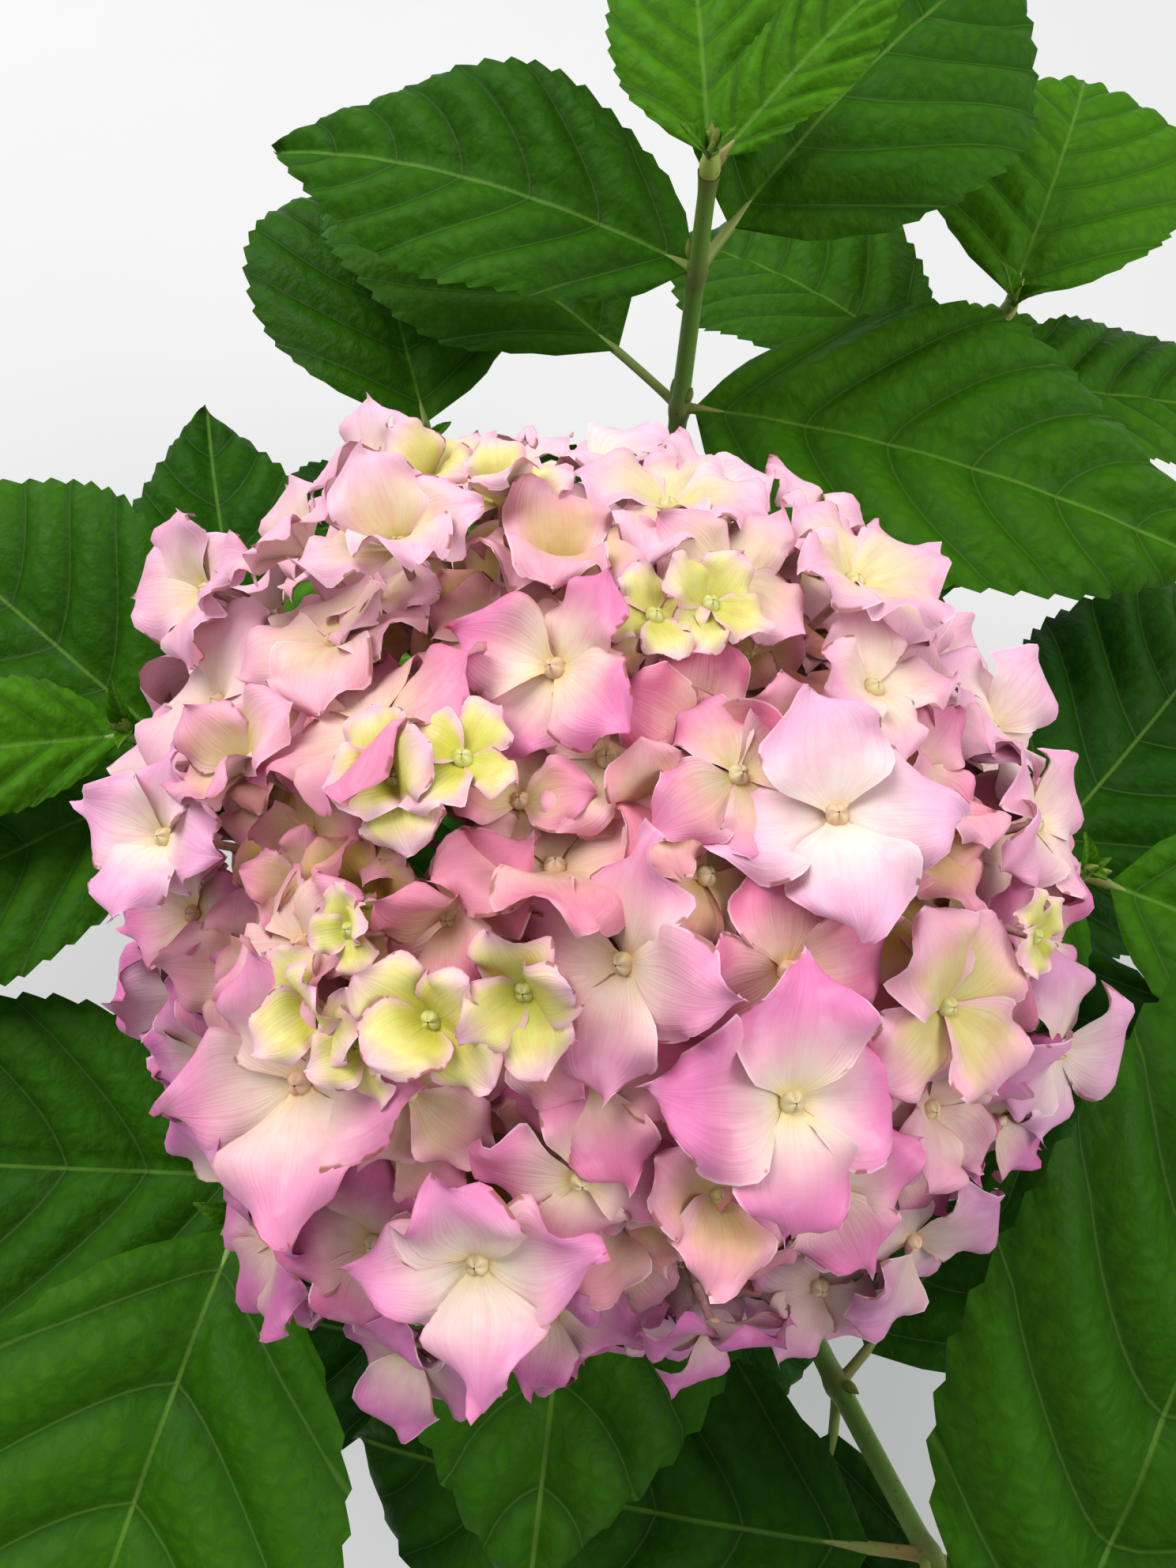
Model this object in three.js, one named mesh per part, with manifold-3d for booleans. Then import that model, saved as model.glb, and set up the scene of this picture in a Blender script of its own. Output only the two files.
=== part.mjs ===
import * as THREE from 'three';
import { mergeVertices } from 'three/addons/utils/BufferGeometryUtils.js';
import Module from 'manifold-3d';

// A potted hydrangea shrub: one shoot bears an open mophead, and eight leafy ones stand round it.
// Millimetres, +Z up. The origin is the middle of the pot's flat underside.

const wasm = await Module();
wasm.setup();

// Driving dimensions: pot and compost
const potHeight = 205;
const potBaseRadius = 90;
const potTopRadius = 118;
const potWall = 2.2;
const potFloor = 3;
const lipHeight = 14;
const lipProud = 4;
const potSegments = 48;
const drainHoles = 8;
const drainRadius = 5;
const drainRing = 66;
const compostTop = 178;
const compostSettled = 5;
const gap = 0.3;
const smallestEdge = 0.1;

// Driving dimensions: woody stock, shoots and leaves
const stockFoot = 15;
const stockHead = 11;
const stockTop = 212;
const stockFlare = [1.2, 0.9, 0.8, 0.78, 0.72];
const stockLean = [2, -3];
const shootFoot = 4.6;
const shootTip = 2.1;
const stubEnd = 0.13;
const bareBelowNode = 0.06;
const shootSpread = 5;
const shootStagger = 4;
const leafThickness = 1.6;
const petioleLength = 12;
const petioleRadius = 1.5;
const leafSlimness = 0.58;
const budLength = 11;
const widestPart = 0.85;
const leafGap = 8;
const nearNode = 0.3;
const potKeepOut = { radius: 132, height: 222 };
const groundKeepOut = 8;

// How a leaf gives way where it would touch: degrees sideways, degrees up or down, then size
const swings = [0, 9, -9, 18, -18, 28, -28];
const nods = [0, -6, 6, -12, 12, -19, 19, -27];
const shrinks = [1, 0.86, 0.72];

// Driving dimensions: flower head
const headCentre = new THREE.Vector3(-5, -40, 440);
const headAxis = new THREE.Vector3(0, -0.15, 0.989).normalize();
const headAcross = 80;
const headAlong = 60;
const headLowest = 112;
const forkDepth = 42;
const knotRadius = 6;
const rayReach = 0.5;
const rayRadius = 1.7;
const rayCount = 7;
const rayPolar = 76;
const floretRadius = 21;
const floretSpacing = 0.52;
const layerReach = 0.85;
const layerDepths = [0, 0.07, 0.14, 0.2];
const goldenAngle = 137.50776;
const facingDepth = 0.95;
const lobeLift = 0.1;
const notchReach = 0.74;
const notchLift = 0.26;
const eyeLift = 0.8;
const stalkRadius = 1.5;
const rimCount = 13;
const rimStart = 10;
const rimPolar = 71;
const rimRadius = 22;
const fillCount = 170;
const headKeepOut = 1.2;

// Shoots: where each ends, where its stem bends up, the leaf nodes along it from the tip down,
// the direction of its topmost pair and the reach of its full-grown leaves.
const shoots = [
  { name: 'centre', tip: [-4, -36, 375], bend: [0.5, 290], nodes: [0.78, 0.56, 0.34], turn: 87, reach: 150 },
  { name: 'back', tip: [20, 133, 428], bend: [1.1, 250], nodes: [1, 0.9, 0.73, 0.54], turn: 91, reach: 150 },
  { name: 'back_right', tip: [116, 153, 352], bend: [0.85, 255], nodes: [1, 0.86, 0.68],
    turn: 68, reach: 130 },
  { name: 'right', tip: [118, -16, 352], bend: [0.85, 245], nodes: [1, 0.84, 0.66], turn: 22, reach: 135 },
  { name: 'front_right', tip: [80, -194, 368], bend: [0.75, 250], nodes: [1, 0.84, 0.64],
    turn: 72, reach: 145 },
  { name: 'front', tip: [-38, -158, 292], bend: [0.8, 232], nodes: [1, 0.82, 0.62], turn: -100, reach: 130 },
  { name: 'front_left', tip: [-90, -98, 352], bend: [0.85, 245], nodes: [1, 0.84, 0.64],
    turn: 250, reach: 145 },
  { name: 'left', tip: [-126, 20, 356], bend: [0.85, 250], nodes: [1, 0.86, 0.68], turn: 185, reach: 140 },
  { name: 'back_left', tip: [-60, 138, 302], bend: [0.95, 242], nodes: [1, 0.8, 0.6], turn: 105, reach: 86 },
];

// Leaves that stand where the crown's outline needs them:
// shoot, node from the tip down, side, azimuth, rise, reach, width, petiole
const setLeaves = [
  ['back', 0, 0, 92, -4, 86, 44, 4],
  ['back', 0, 1, 41, 8, 66, 26, 4],
  ['back', 1, 0, 51, 3, 142, 96, 14],
  ['back', 1, 1, 158, -4, 124, 64, 1],
  ['back', 2, 0, -21, 3, 160, 92, 5],
  ['back', 2, 1, 136, -9, 165, 84, 26],
  ['back_right', 0, 0, 68, -8, 115, 80, 6],
  ['back_right', 1, 0, 4, -16, 122, 62, 8],
  ['back_right', 1, 1, 127, -24, 150, 76, 20],
  ['right', 0, 0, -24, -5, 112, 74, 8],
  ['right', 1, 0, 46, -14, 150, 88, 14],
  ['front_right', 0, 0, 68, 16, 182, 100, 4],
  ['front_right', 1, 0, 174, -16, 150, 90, 14],
  ['front_left', 0, 0, 254, -5, 160, 102, 4],
  ['front_left', 1, 1, 178, -8, 150, 92, 10],
  ['left', 0, 0, 190, 4, 84, 40, 4],
  ['left', 1, 0, 140, -4, 140, 92, 8],
  ['left', 1, 1, 212, -8, 116, 74, 8],
  ['left', 2, 0, 102, 8, 135, 66, 16],
  ['back_left', 0, 0, 105, -6, 132, 96, 10],
];

// The large open florets that stand out in the bloom: azimuth, polar angle, radius, turn
const setFlorets = [
  [103, 25, 21, 20],
  [145, 33, 27, 19],
  [91, 15, 16, 45],
  [62, 12, 18, 10],
  [43, 18, 19, 30],
  [19, 24, 24, 8],
  [157, 7, 23, 15],
  [284, 7, 22, 60],
  [337, 21, 22, 5],
  [311, 27, 25, 0],
  [339, 39, 20, 40],
  [325, 37, 19, 70],
  [215, 20, 13, 35],
  [229, 12, 13, 10],
  [201, 35, 12, 45],
  [189, 39, 21, 20],
  [211, 42, 25, 65],
  [224, 32, 17, 30],
  [250, 42, 27, 8],
  [152, 24, 12, 20],
  [187, 19, 18, 75],
  [264, 19, 19, 15],
  [282, 21, 19, 50],
  [38, 41, 19, 5],
  [23, 43, 19, 55],
  [63, 23, 20, 70],
  [271, 41, 20, 10],
  [291, 42, 20, 35],
  [112, 52, 15, 60],
  [121, 44, 17, 25],
  [308, 47, 20, 65],
];

const degree = Math.PI / 180;
const up = new THREE.Vector3(0, 0, 1);

// A repeatable scatter between -1 and 1 for item n
function scatter(n) {
  const part = n * 0.61803398875;
  return (part - Math.floor(part)) * 2 - 1;
}

function makeSolid(geometry) {
  geometry.deleteAttribute('normal');
  geometry.deleteAttribute('uv');
  const merged = mergeVertices(geometry, 1e-4);
  const places = merged.getAttribute('position').array;
  const corners = [];
  const index = merged.getIndex().array;
  for (let i = 0; i < index.length; i += 3) {
    const [a, b, c] = [index[i], index[i + 1], index[i + 2]];
    if (a !== b && b !== c && c !== a) corners.push(a, b, c);
  }
  const triVerts = new Uint32Array(corners);
  const vertProperties = new Float32Array(places);
  return new wasm.Manifold(new wasm.Mesh({ numProp: 3, vertProperties, triVerts }));
}

function solidFromLists(points, triangles) {
  const geometry = new THREE.BufferGeometry();
  const places = points.flatMap((point) => [point.x, point.y, point.z]);
  geometry.setAttribute('position', new THREE.Float32BufferAttribute(places, 3));
  geometry.setIndex(triangles);
  return makeSolid(geometry);
}

// A closed skin over a row of equal rings, each end closed by a fan from its first point
function loft(rings) {
  const count = rings[0].length;
  const triangles = [];
  for (let i = 0; i + 1 < rings.length; i += 1) {
    for (let j = 0; j < count; j += 1) {
      const next = (j + 1) % count;
      const [a, b, c, d] = [i * count + j, i * count + next, (i + 1) * count + next, (i + 1) * count + j];
      triangles.push(a, b, c, a, c, d);
    }
  }
  const last = (rings.length - 1) * count;
  for (let j = 1; j + 1 < count; j += 1) {
    triangles.push(0, j + 1, j);
    triangles.push(last, last + j, last + j + 1);
  }
  return solidFromLists(rings.flat(), triangles);
}

// A round section of a limb, square to its direction; side is any vector across the limb
function ring(centre, direction, side, radius, sides) {
  const across = new THREE.Vector3().crossVectors(side, direction).normalize();
  const other = new THREE.Vector3().crossVectors(direction, across).normalize();
  const points = [];
  for (let i = 0; i < sides; i += 1) {
    const angle = (i / sides) * 2 * Math.PI;
    const point = centre.clone().addScaledVector(across, radius * Math.cos(angle));
    points.push(point.addScaledVector(other, radius * Math.sin(angle)));
  }
  return points;
}

function limb(curve, side, from, to, radiusAt, sides, steps) {
  const rings = [];
  for (let i = 0; i <= steps; i += 1) {
    const t = from + ((to - from) * i) / steps;
    rings.push(ring(curve.getPoint(t), curve.getTangent(t), side, radiusAt(t), sides));
  }
  return loft(rings);
}

function rod(start, end, radiusStart, radiusEnd, sides) {
  const direction = new THREE.Vector3().subVectors(end, start).normalize();
  const side = Math.abs(direction.z) > 0.9 ? new THREE.Vector3(1, 0, 0) : up;
  return loft([
    ring(start, direction, side, radiusStart, sides),
    ring(end, direction, side, radiusEnd, sides),
  ]);
}

function knot(centre, radius) {
  const geometry = new THREE.OctahedronGeometry(radius, 0);
  geometry.translate(centre.x, centre.y, centre.z);
  return makeSolid(geometry);
}

function lathe(profile, segments) {
  const outline = profile.map(([radius, height]) => new THREE.Vector2(radius, height));
  const geometry = new THREE.LatheGeometry(outline, segments);
  geometry.rotateX(Math.PI / 2);
  return makeSolid(geometry);
}

function toGeometry(solid) {
  const { vertProperties, triVerts } = solid.getMesh();
  const geometry = new THREE.BufferGeometry();
  geometry.setAttribute('position', new THREE.BufferAttribute(new Float32Array(vertProperties), 3));
  geometry.setIndex(new THREE.BufferAttribute(new Uint32Array(triVerts), 1));
  return geometry;
}

function largestBody(solid) {
  return solid.decompose().reduce((best, body) => (body.volume() > best.volume() ? body : best));
}

// Fuses pieces into one body: the largest is kept, so sealed hollows fill and loose scraps drop.
// The second look is at the mesh as it is stored, where close corners have become one.
function fuse(pieces) {
  const fused = largestBody(wasm.Manifold.union(pieces)).simplify(smallestEdge);
  return largestBody(makeSolid(toGeometry(fused)));
}

function toMesh(name, solid, material) {
  const geometry = toGeometry(solid);
  geometry.computeVertexNormals();
  const mesh = new THREE.Mesh(geometry, material);
  mesh.name = name;
  return mesh;
}

function wallRadius(height) {
  return potBaseRadius + ((potTopRadius - potBaseRadius) * height) / potHeight;
}

function makePot() {
  const lipFoot = potHeight - lipHeight;
  const shell = lathe([
    [0, 0],
    [potBaseRadius, 0],
    [wallRadius(lipFoot), lipFoot],
    [wallRadius(lipFoot) + lipProud, lipFoot + 2],
    [potTopRadius + lipProud, potHeight - 1.5],
    [potTopRadius + lipProud - 1.5, potHeight],
    [potTopRadius - potWall, potHeight],
    [wallRadius(potFloor) - potWall, potFloor],
    [0, potFloor],
  ], potSegments);
  const holes = [];
  for (let i = 0; i < drainHoles; i += 1) {
    const angle = ((i + 0.5) / drainHoles) * 2 * Math.PI;
    const hole = new THREE.CylinderGeometry(drainRadius, drainRadius, potFloor * 4, 12);
    hole.rotateX(Math.PI / 2);
    hole.translate(drainRing * Math.cos(angle), drainRing * Math.sin(angle), 0);
    holes.push(makeSolid(hole));
  }
  return shell.subtract(wasm.Manifold.union(holes));
}

function makeCompost() {
  const clear = potWall + gap * 1.1;
  const foot = potFloor + gap;
  const edge = compostTop - compostSettled;
  return lathe([
    [0, foot],
    [wallRadius(foot) - clear, foot],
    [wallRadius(edge) - clear, edge],
    [stockFoot * 3, compostTop - 1],
    [stockFoot * 1.6, compostTop],
    [0, compostTop],
  ], potSegments);
}

// Each shoot's stem leaves the stock low and outward, then bends up to its tip
function stemOf(shoot, order) {
  const [x, y, z] = shoot.tip;
  const azimuth = Math.atan2(y, x);
  const foot = new THREE.Vector3(
    stockLean[0] + shootSpread * Math.cos(azimuth),
    stockLean[1] + shootSpread * Math.sin(azimuth),
    stockTop - 6 - shootStagger * (order % 3),
  );
  if (order === 0) foot.set(stockLean[0], stockLean[1], stockTop - 2 * shootStagger);
  const [reach, height] = shoot.bend;
  const elbow = new THREE.Vector3(x * reach, y * reach, height);
  const curve = new THREE.QuadraticBezierCurve3(foot, elbow, new THREE.Vector3(x, y, z));
  const side = new THREE.Vector3(-Math.sin(azimuth), Math.cos(azimuth), 0);
  const radiusAt = (t) => shootFoot + (shootTip - shootFoot) * t;
  const massStart = shoot.nodes[shoot.nodes.length - 1] - bareBelowNode;
  const step = gap / curve.getLength();
  return { curve, side, radiusAt, massStart, step };
}

// A leaf's line from its node: an arc in the upright plane of its azimuth, whose chord has its rise
function leafLine(leaf, v) {
  const start = leaf.rise + leaf.arch / 2;
  const now = start - leaf.arch * v;
  const out = (leaf.length * (Math.sin(start) - Math.sin(now))) / leaf.arch;
  const high = (leaf.length * (Math.cos(now) - Math.cos(start))) / leaf.arch;
  return { out, high, slope: now };
}

function leafHalfWidth(leaf, v) {
  const u = (v - leaf.stalk) / (1 - leaf.stalk);
  if (u <= 0) return 0;
  const swell = Math.sin(Math.PI * Math.min(u, 1) ** widestPart);
  return leaf.half * Math.max(swell, 0) ** 0.8 * (1 - 0.3 * u ** 6);
}

// A point of the leaf: v runs from its node to its tip, s is millimetres across, lift is off its face
function leafPoint(leaf, v, s, lift) {
  const { out, high, slope } = leafLine(leaf, v);
  const along = new THREE.Vector3(Math.cos(leaf.azimuth), Math.sin(leaf.azimuth), 0);
  const level = new THREE.Vector3(-Math.sin(leaf.azimuth), Math.cos(leaf.azimuth), 0);
  const face = along.clone().multiplyScalar(-Math.sin(slope)).addScaledVector(up, Math.cos(slope));
  const across = level.clone().multiplyScalar(Math.cos(leaf.bank));
  across.addScaledVector(face, Math.sin(leaf.bank));
  face.multiplyScalar(Math.cos(leaf.bank)).addScaledVector(level, -Math.sin(leaf.bank));
  const rise = Math.abs(s) * Math.sin(leaf.fold) + lift;
  return leaf.base.clone()
    .addScaledVector(along, out)
    .addScaledVector(up, high)
    .addScaledVector(across, s * Math.cos(leaf.fold))
    .addScaledVector(face, rise);
}

function makeLeaf(base, azimuth, rise, reach, width, petiole, order) {
  const arch = (34 + 8 * scatter(order * 3 + 1)) * degree;
  const length = (reach * arch) / 2 / Math.sin(arch / 2);
  const stalk = petiole / length;
  return {
    base,
    azimuth: azimuth * degree,
    rise: rise * degree,
    arch,
    length,
    stalk,
    half: width / 2,
    fold: (13 + 5 * scatter(order * 5 + 2)) * degree,
    bank: 9 * scatter(order * 7 + 3) * degree,
  };
}

// Points about leafGap apart all over a leaf, petiole first
function leafCloud(leaf) {
  const rows = Math.ceil(leaf.length / leafGap);
  const points = [];
  for (let i = 0; i <= rows; i += 1) {
    const v = i / rows;
    const half = leafHalfWidth(leaf, v);
    const columns = Math.ceil(half / leafGap);
    for (let j = -columns; j <= columns; j += 1) {
      const s = columns === 0 ? 0 : (half * j) / columns;
      const point = leafPoint(leaf, v, s, 0);
      points.push({ x: point.x, y: point.y, z: point.z, v });
    }
  }
  return points;
}

function boxOf(points) {
  const box = new THREE.Box3();
  points.forEach((point) => box.expandByPoint(new THREE.Vector3(point.x, point.y, point.z)));
  return box.expandByScalar(leafGap);
}

function insideKeepOut(point) {
  if (point.z < groundKeepOut) return true;
  if (point.z < potKeepOut.height && Math.hypot(point.x, point.y) < potKeepOut.radius) return true;
  const from = new THREE.Vector3(point.x, point.y, point.z).sub(headCentre);
  const along = from.dot(headAxis);
  const across = Math.sqrt(Math.max(from.lengthSq() - along * along, 0));
  return Math.hypot(across / headAcross, along / headAlong) < headKeepOut;
}

// A leaf fits if no point of its blade is near another leaf or stem, the head or the pot.
// On its own shoot the first stretch from the node doesn't count.
function leafFits(cloud, shootName, placed) {
  if (cloud.some((point) => insideKeepOut(point))) return false;
  const box = boxOf(cloud);
  for (const other of placed) {
    if (!box.intersectsBox(other.box)) continue;
    const own = other.shootName === shootName;
    for (const a of cloud) {
      if (own && a.v < nearNode) continue;
      for (const b of other.cloud) {
        if (own && b.v < nearNode) continue;
        const apart = (a.x - b.x) ** 2 + (a.y - b.y) ** 2 + (a.z - b.z) ** 2;
        if (apart < leafGap * leafGap) return false;
      }
    }
  }
  return true;
}

function stemCloud(stem) {
  const points = [];
  const count = Math.ceil(stem.curve.getLength() / leafGap * 1.5);
  for (let i = 0; i <= count; i += 1) {
    const point = stem.curve.getPoint(i / count);
    points.push({ x: point.x, y: point.y, z: point.z, v: 1 });
  }
  return points;
}

// The leaves a shoot would bear by rule: opposite pairs, each a quarter turn from the next
function ruleLeaves(shoot, shootOrder) {
  const list = [];
  shoot.nodes.forEach((t, node) => {
    for (let sideOfPair = 0; sideOfPair < 2; sideOfPair += 1) {
      const order = shootOrder * 10 + node * 2 + sideOfPair;
      const young = node === 0 && shoot.name !== 'centre';
      const size = shoot.reach * (young ? 0.66 : 1 - 0.07 * node) * (1 + 0.08 * scatter(order));
      const rise = (young ? 16 : 8 - 13 * node) + 5 * scatter(order * 2 + 5);
      const azimuth = shoot.turn + 90 * node + 180 * sideOfPair + 12 * scatter(order + 40);
      const leaf = { shoot: shoot.name, node, side: sideOfPair, order, azimuth, rise, reach: size };
      list.push({ ...leaf, width: size * leafSlimness, petiole: petioleLength * (young ? 0.4 : 1) });
    }
  });
  return list;
}

// Tries a leaf where it is wanted, then a little round it, then smaller; none of these fits: skipped
function settle(wanted, base, placed) {
  for (const shrink of shrinks) {
    for (const swing of swings) {
      for (const nod of nods) {
        const leaf = makeLeaf(base, wanted.azimuth + swing, wanted.rise + nod,
          wanted.reach * shrink, wanted.width * shrink, wanted.petiole, wanted.order);
        const cloud = leafCloud(leaf);
        if (leafFits(cloud, wanted.shoot, placed)) return { leaf, cloud };
      }
    }
  }
  return null;
}

function growLeaves(stems) {
  const placed = shoots.map((shoot, i) => {
    const cloud = stemCloud(stems[i]);
    return { shootName: shoot.name, cloud, box: boxOf(cloud), leaf: null };
  });
  const wanted = shoots.flatMap((shoot, i) => ruleLeaves(shoot, i));
  const isSet = (leaf) => setLeaves.find(([name, node, side]) => (
    name === leaf.shoot && node === leaf.node && side === leaf.side));
  wanted.filter(isSet).forEach((leaf) => {
    [leaf.azimuth, leaf.rise, leaf.reach, leaf.width, leaf.petiole] = isSet(leaf).slice(3);
  });
  const ordered = [...wanted.filter(isSet), ...wanted.filter((leaf) => !isSet(leaf))];
  for (const leaf of ordered) {
    const i = shoots.findIndex((shoot) => shoot.name === leaf.shoot);
    const base = stems[i].curve.getPoint(shoots[i].nodes[leaf.node]);
    const found = settle(leaf, base, placed);
    if (found) placed.push({ shootName: leaf.shoot, box: boxOf(found.cloud), ...found });
  }
  return placed.filter((item) => item.leaf);
}

// One thin folded plate from the stem's middle to the tip: the petiole is its narrow first stretch
function leafSolid(leaf) {
  const blade = leaf.length > 100 ? [0.12, 0.3, 0.52, 0.78, 1] : [0.25, 0.6, 1];
  const stations = [0, leaf.stalk, ...blade.map((u) => leaf.stalk + (1 - leaf.stalk) * u)];
  const rings = stations.map((v, i) => {
    const s = Math.max(leafHalfWidth(leaf, v), v > 0.5 ? 0.5 : petioleRadius);
    const half = i < 2 ? petioleRadius * 0.9 : leafThickness / 2;
    return [
      leafPoint(leaf, v, 0, half),
      leafPoint(leaf, v, -s, half),
      leafPoint(leaf, v, -s, -half),
      leafPoint(leaf, v, 0, -half),
      leafPoint(leaf, v, s, -half),
      leafPoint(leaf, v, s, half),
    ];
  });
  return loft(rings);
}

function makeLeafMass(shoot, stem, leaves) {
  const start = stem.massStart + stem.step;
  const end = shoot.name === 'centre' ? 1 - stem.step / 2 : 1;
  const pieces = [limb(stem.curve, stem.side, start, end, stem.radiusAt, 6, 5)];
  leaves.forEach((item) => pieces.push(leafSolid(item.leaf)));
  if (shoot.name !== 'centre') {
    const tip = stem.curve.getPoint(1);
    const grow = stem.curve.getTangent(1);
    const bud = tip.clone().addScaledVector(grow, budLength);
    pieces.push(rod(tip.clone().addScaledVector(grow, -3), bud, shootTip * 1.3, 0.7, 6));
  }
  return fuse(pieces);
}

function makeBough(stem) {
  const start = stubEnd + stem.step;
  return limb(stem.curve, stem.side, start, stem.massStart, stem.radiusAt, 8, 5);
}

function makeStock(stems) {
  const rings = [];
  const steps = stockFlare.length - 1;
  const foot = compostTop + gap;
  for (let i = 0; i <= steps; i += 1) {
    const t = i / steps;
    const centre = new THREE.Vector3(stockLean[0] * t, stockLean[1] * t, foot + (stockTop - foot) * t);
    const radius = (stockFoot + (stockHead - stockFoot) * t) * stockFlare[i];
    rings.push(ring(centre, up, new THREE.Vector3(1, 0, 0), radius, 10));
  }
  const stubs = stems.map((stem) => limb(stem.curve, stem.side, 0, stubEnd, stem.radiusAt, 6, 1));
  return fuse([loft(rings), ...stubs]);
}

// Directions across the flower head
const headEast = new THREE.Vector3(1, 0, 0);
const headNorth = new THREE.Vector3().crossVectors(headAxis, headEast);

function headPoint(azimuth, polar, scale) {
  const out = Math.sin(polar * degree) * headAcross * scale;
  return headCentre.clone()
    .addScaledVector(headEast, out * Math.cos(azimuth * degree))
    .addScaledVector(headNorth, out * Math.sin(azimuth * degree))
    .addScaledVector(headAxis, Math.cos(polar * degree) * headAlong * scale);
}

// Florets lie in layers like shingles: each takes the outermost layer that no near neighbour has
function layFloret(florets, floret) {
  floret.place = headPoint(floret.azimuth, floret.polar, 1);
  const apart = (other) => other.place.distanceTo(floret.place) / (other.radius + floret.radius);
  if (!floret.set && florets.some((other) => apart(other) < floretSpacing)) return;
  const near = florets.filter((other) => apart(other) < layerReach);
  const layers = layerDepths.map((depth, layer) => layer);
  const free = layers.find((layer) => !near.some((other) => other.layer === layer));
  floret.layer = free ?? layers.length - 1;
  floret.eye = headPoint(floret.azimuth, floret.polar, 1 - layerDepths[floret.layer]);
  florets.push(floret);
}

// The set florets come first and then a ring at the rim; a golden-angle spiral fills what is left
function placeFlorets() {
  const florets = [];
  setFlorets.forEach(([azimuth, polar, radius, turn]) => {
    layFloret(florets, { azimuth, polar, radius, turn, set: true });
  });
  for (let i = 0; i < rimCount; i += 1) {
    const azimuth = rimStart + (i * 360) / rimCount + 5 * scatter(i + 3);
    const polar = rimPolar + 5 * scatter(i + 8);
    layFloret(florets, { azimuth, polar, radius: rimRadius + 2 * scatter(i), turn: 40 * i, set: true });
  }
  const lowest = Math.cos(headLowest * degree);
  for (let i = 0; i < fillCount; i += 1) {
    const height = 1 - ((1 - lowest) * (i + 0.5)) / fillCount;
    layFloret(florets, {
      azimuth: (i * goldenAngle) % 360,
      polar: Math.acos(height) / degree,
      radius: floretRadius * (1 + 0.14 * scatter(i)),
      turn: 45 * (1 + scatter(i + 17)),
      set: false,
    });
  }
  return florets;
}

// A cupped four-lobed plate on its stalk, in one skin:
// the face point, lobes and notches, the stalk's top and its root
function floretSolid(floret, root) {
  const normal = floret.eye.clone().sub(headPoint(0, 180, facingDepth)).normalize();
  const side = new THREE.Vector3().crossVectors(headNorth, normal).normalize();
  const other = new THREE.Vector3().crossVectors(normal, side);
  const at = (centre, angle, reach, lift) => centre.clone()
    .addScaledVector(side, reach * Math.cos((angle + floret.turn) * degree))
    .addScaledVector(other, reach * Math.sin((angle + floret.turn) * degree))
    .addScaledVector(normal, lift);
  const points = [at(floret.eye, 0, 0, eyeLift)];
  for (let k = 0; k < 4; k += 1) {
    points.push(at(floret.eye, k * 90, floret.radius, floret.radius * lobeLift));
    points.push(at(floret.eye, k * 90 + 45, floret.radius * notchReach, floret.radius * notchLift));
  }
  for (let k = 0; k < 4; k += 1) points.push(at(floret.eye, k * 90 + 45, stalkRadius, -stalkRadius));
  for (let k = 0; k < 4; k += 1) points.push(at(root, k * 90 + 45, stalkRadius * 0.75, 0));
  const triangles = [13, 16, 15, 13, 15, 14];
  for (let k = 0; k < 4; k += 1) {
    const next = (k + 1) % 4;
    const [lobe, notch, nextLobe] = [1 + 2 * k, 2 + 2 * k, 1 + 2 * next];
    const [top, nextTop, low, nextLow] = [9 + k, 9 + next, 13 + k, 13 + next];
    triangles.push(0, lobe, notch, 0, notch, nextLobe);
    triangles.push(top, notch, lobe, top, nextLobe, notch, top, nextTop, nextLobe);
    triangles.push(nextTop, top, low, nextTop, low, nextLow);
  }
  return solidFromLists(points, triangles);
}

function makeFlowerHead(stem) {
  const florets = placeFlorets();
  const tip = stem.curve.getPoint(1);
  const grow = stem.curve.getTangent(1);
  const foot = tip.clone().addScaledVector(grow, gap / 2);
  const fork = headCentre.clone().addScaledVector(headAxis, -forkDepth);
  const bend = foot.clone().addScaledVector(grow, forkDepth / 4);
  const curve = new THREE.QuadraticBezierCurve3(foot, bend, fork);
  const pieces = [limb(curve, stem.side, 0, 1, () => shootTip * 1.1, 6, 3), knot(fork, knotRadius)];
  const branches = [{ azimuth: 0, polar: 0 }];
  for (let i = 0; i < rayCount; i += 1) {
    branches.push({ azimuth: (i * 360) / rayCount + 20, polar: rayPolar });
  }
  branches.forEach((branch) => {
    branch.end = headPoint(branch.azimuth, branch.polar, rayReach);
    const outward = new THREE.Vector3().subVectors(branch.end, fork).normalize();
    const rayFoot = fork.clone().addScaledVector(outward, knotRadius / 2);
    pieces.push(rod(rayFoot, branch.end, rayRadius, rayRadius, 4));
    pieces.push(knot(branch.end, knotRadius));
  });
  florets.forEach((floret) => {
    const near = branches.reduce((best, branch) => (
      branch.end.distanceTo(floret.eye) < best.end.distanceTo(floret.eye) ? branch : best));
    const outward = new THREE.Vector3().subVectors(floret.eye, near.end).normalize();
    pieces.push(floretSolid(floret, near.end.clone().addScaledVector(outward, knotRadius / 2)));
  });
  return fuse(pieces);
}

const potPlastic = new THREE.MeshStandardMaterial({ color: 0x1b1c1e, roughness: 0.6, metalness: 0 });
const compostEarth = new THREE.MeshStandardMaterial({ color: 0x2f281d, roughness: 1, metalness: 0 });
const bark = new THREE.MeshStandardMaterial({ color: 0x7a6a4a, roughness: 0.85, metalness: 0 });
const greenStem = new THREE.MeshStandardMaterial({ color: 0x5d8a35, roughness: 0.6, metalness: 0 });
const leafGreen = new THREE.MeshStandardMaterial({ color: 0x2f6b22, roughness: 0.55, metalness: 0 });
const sepalPink = new THREE.MeshStandardMaterial({ color: 0xe9a6cc, roughness: 0.6, metalness: 0 });

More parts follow.
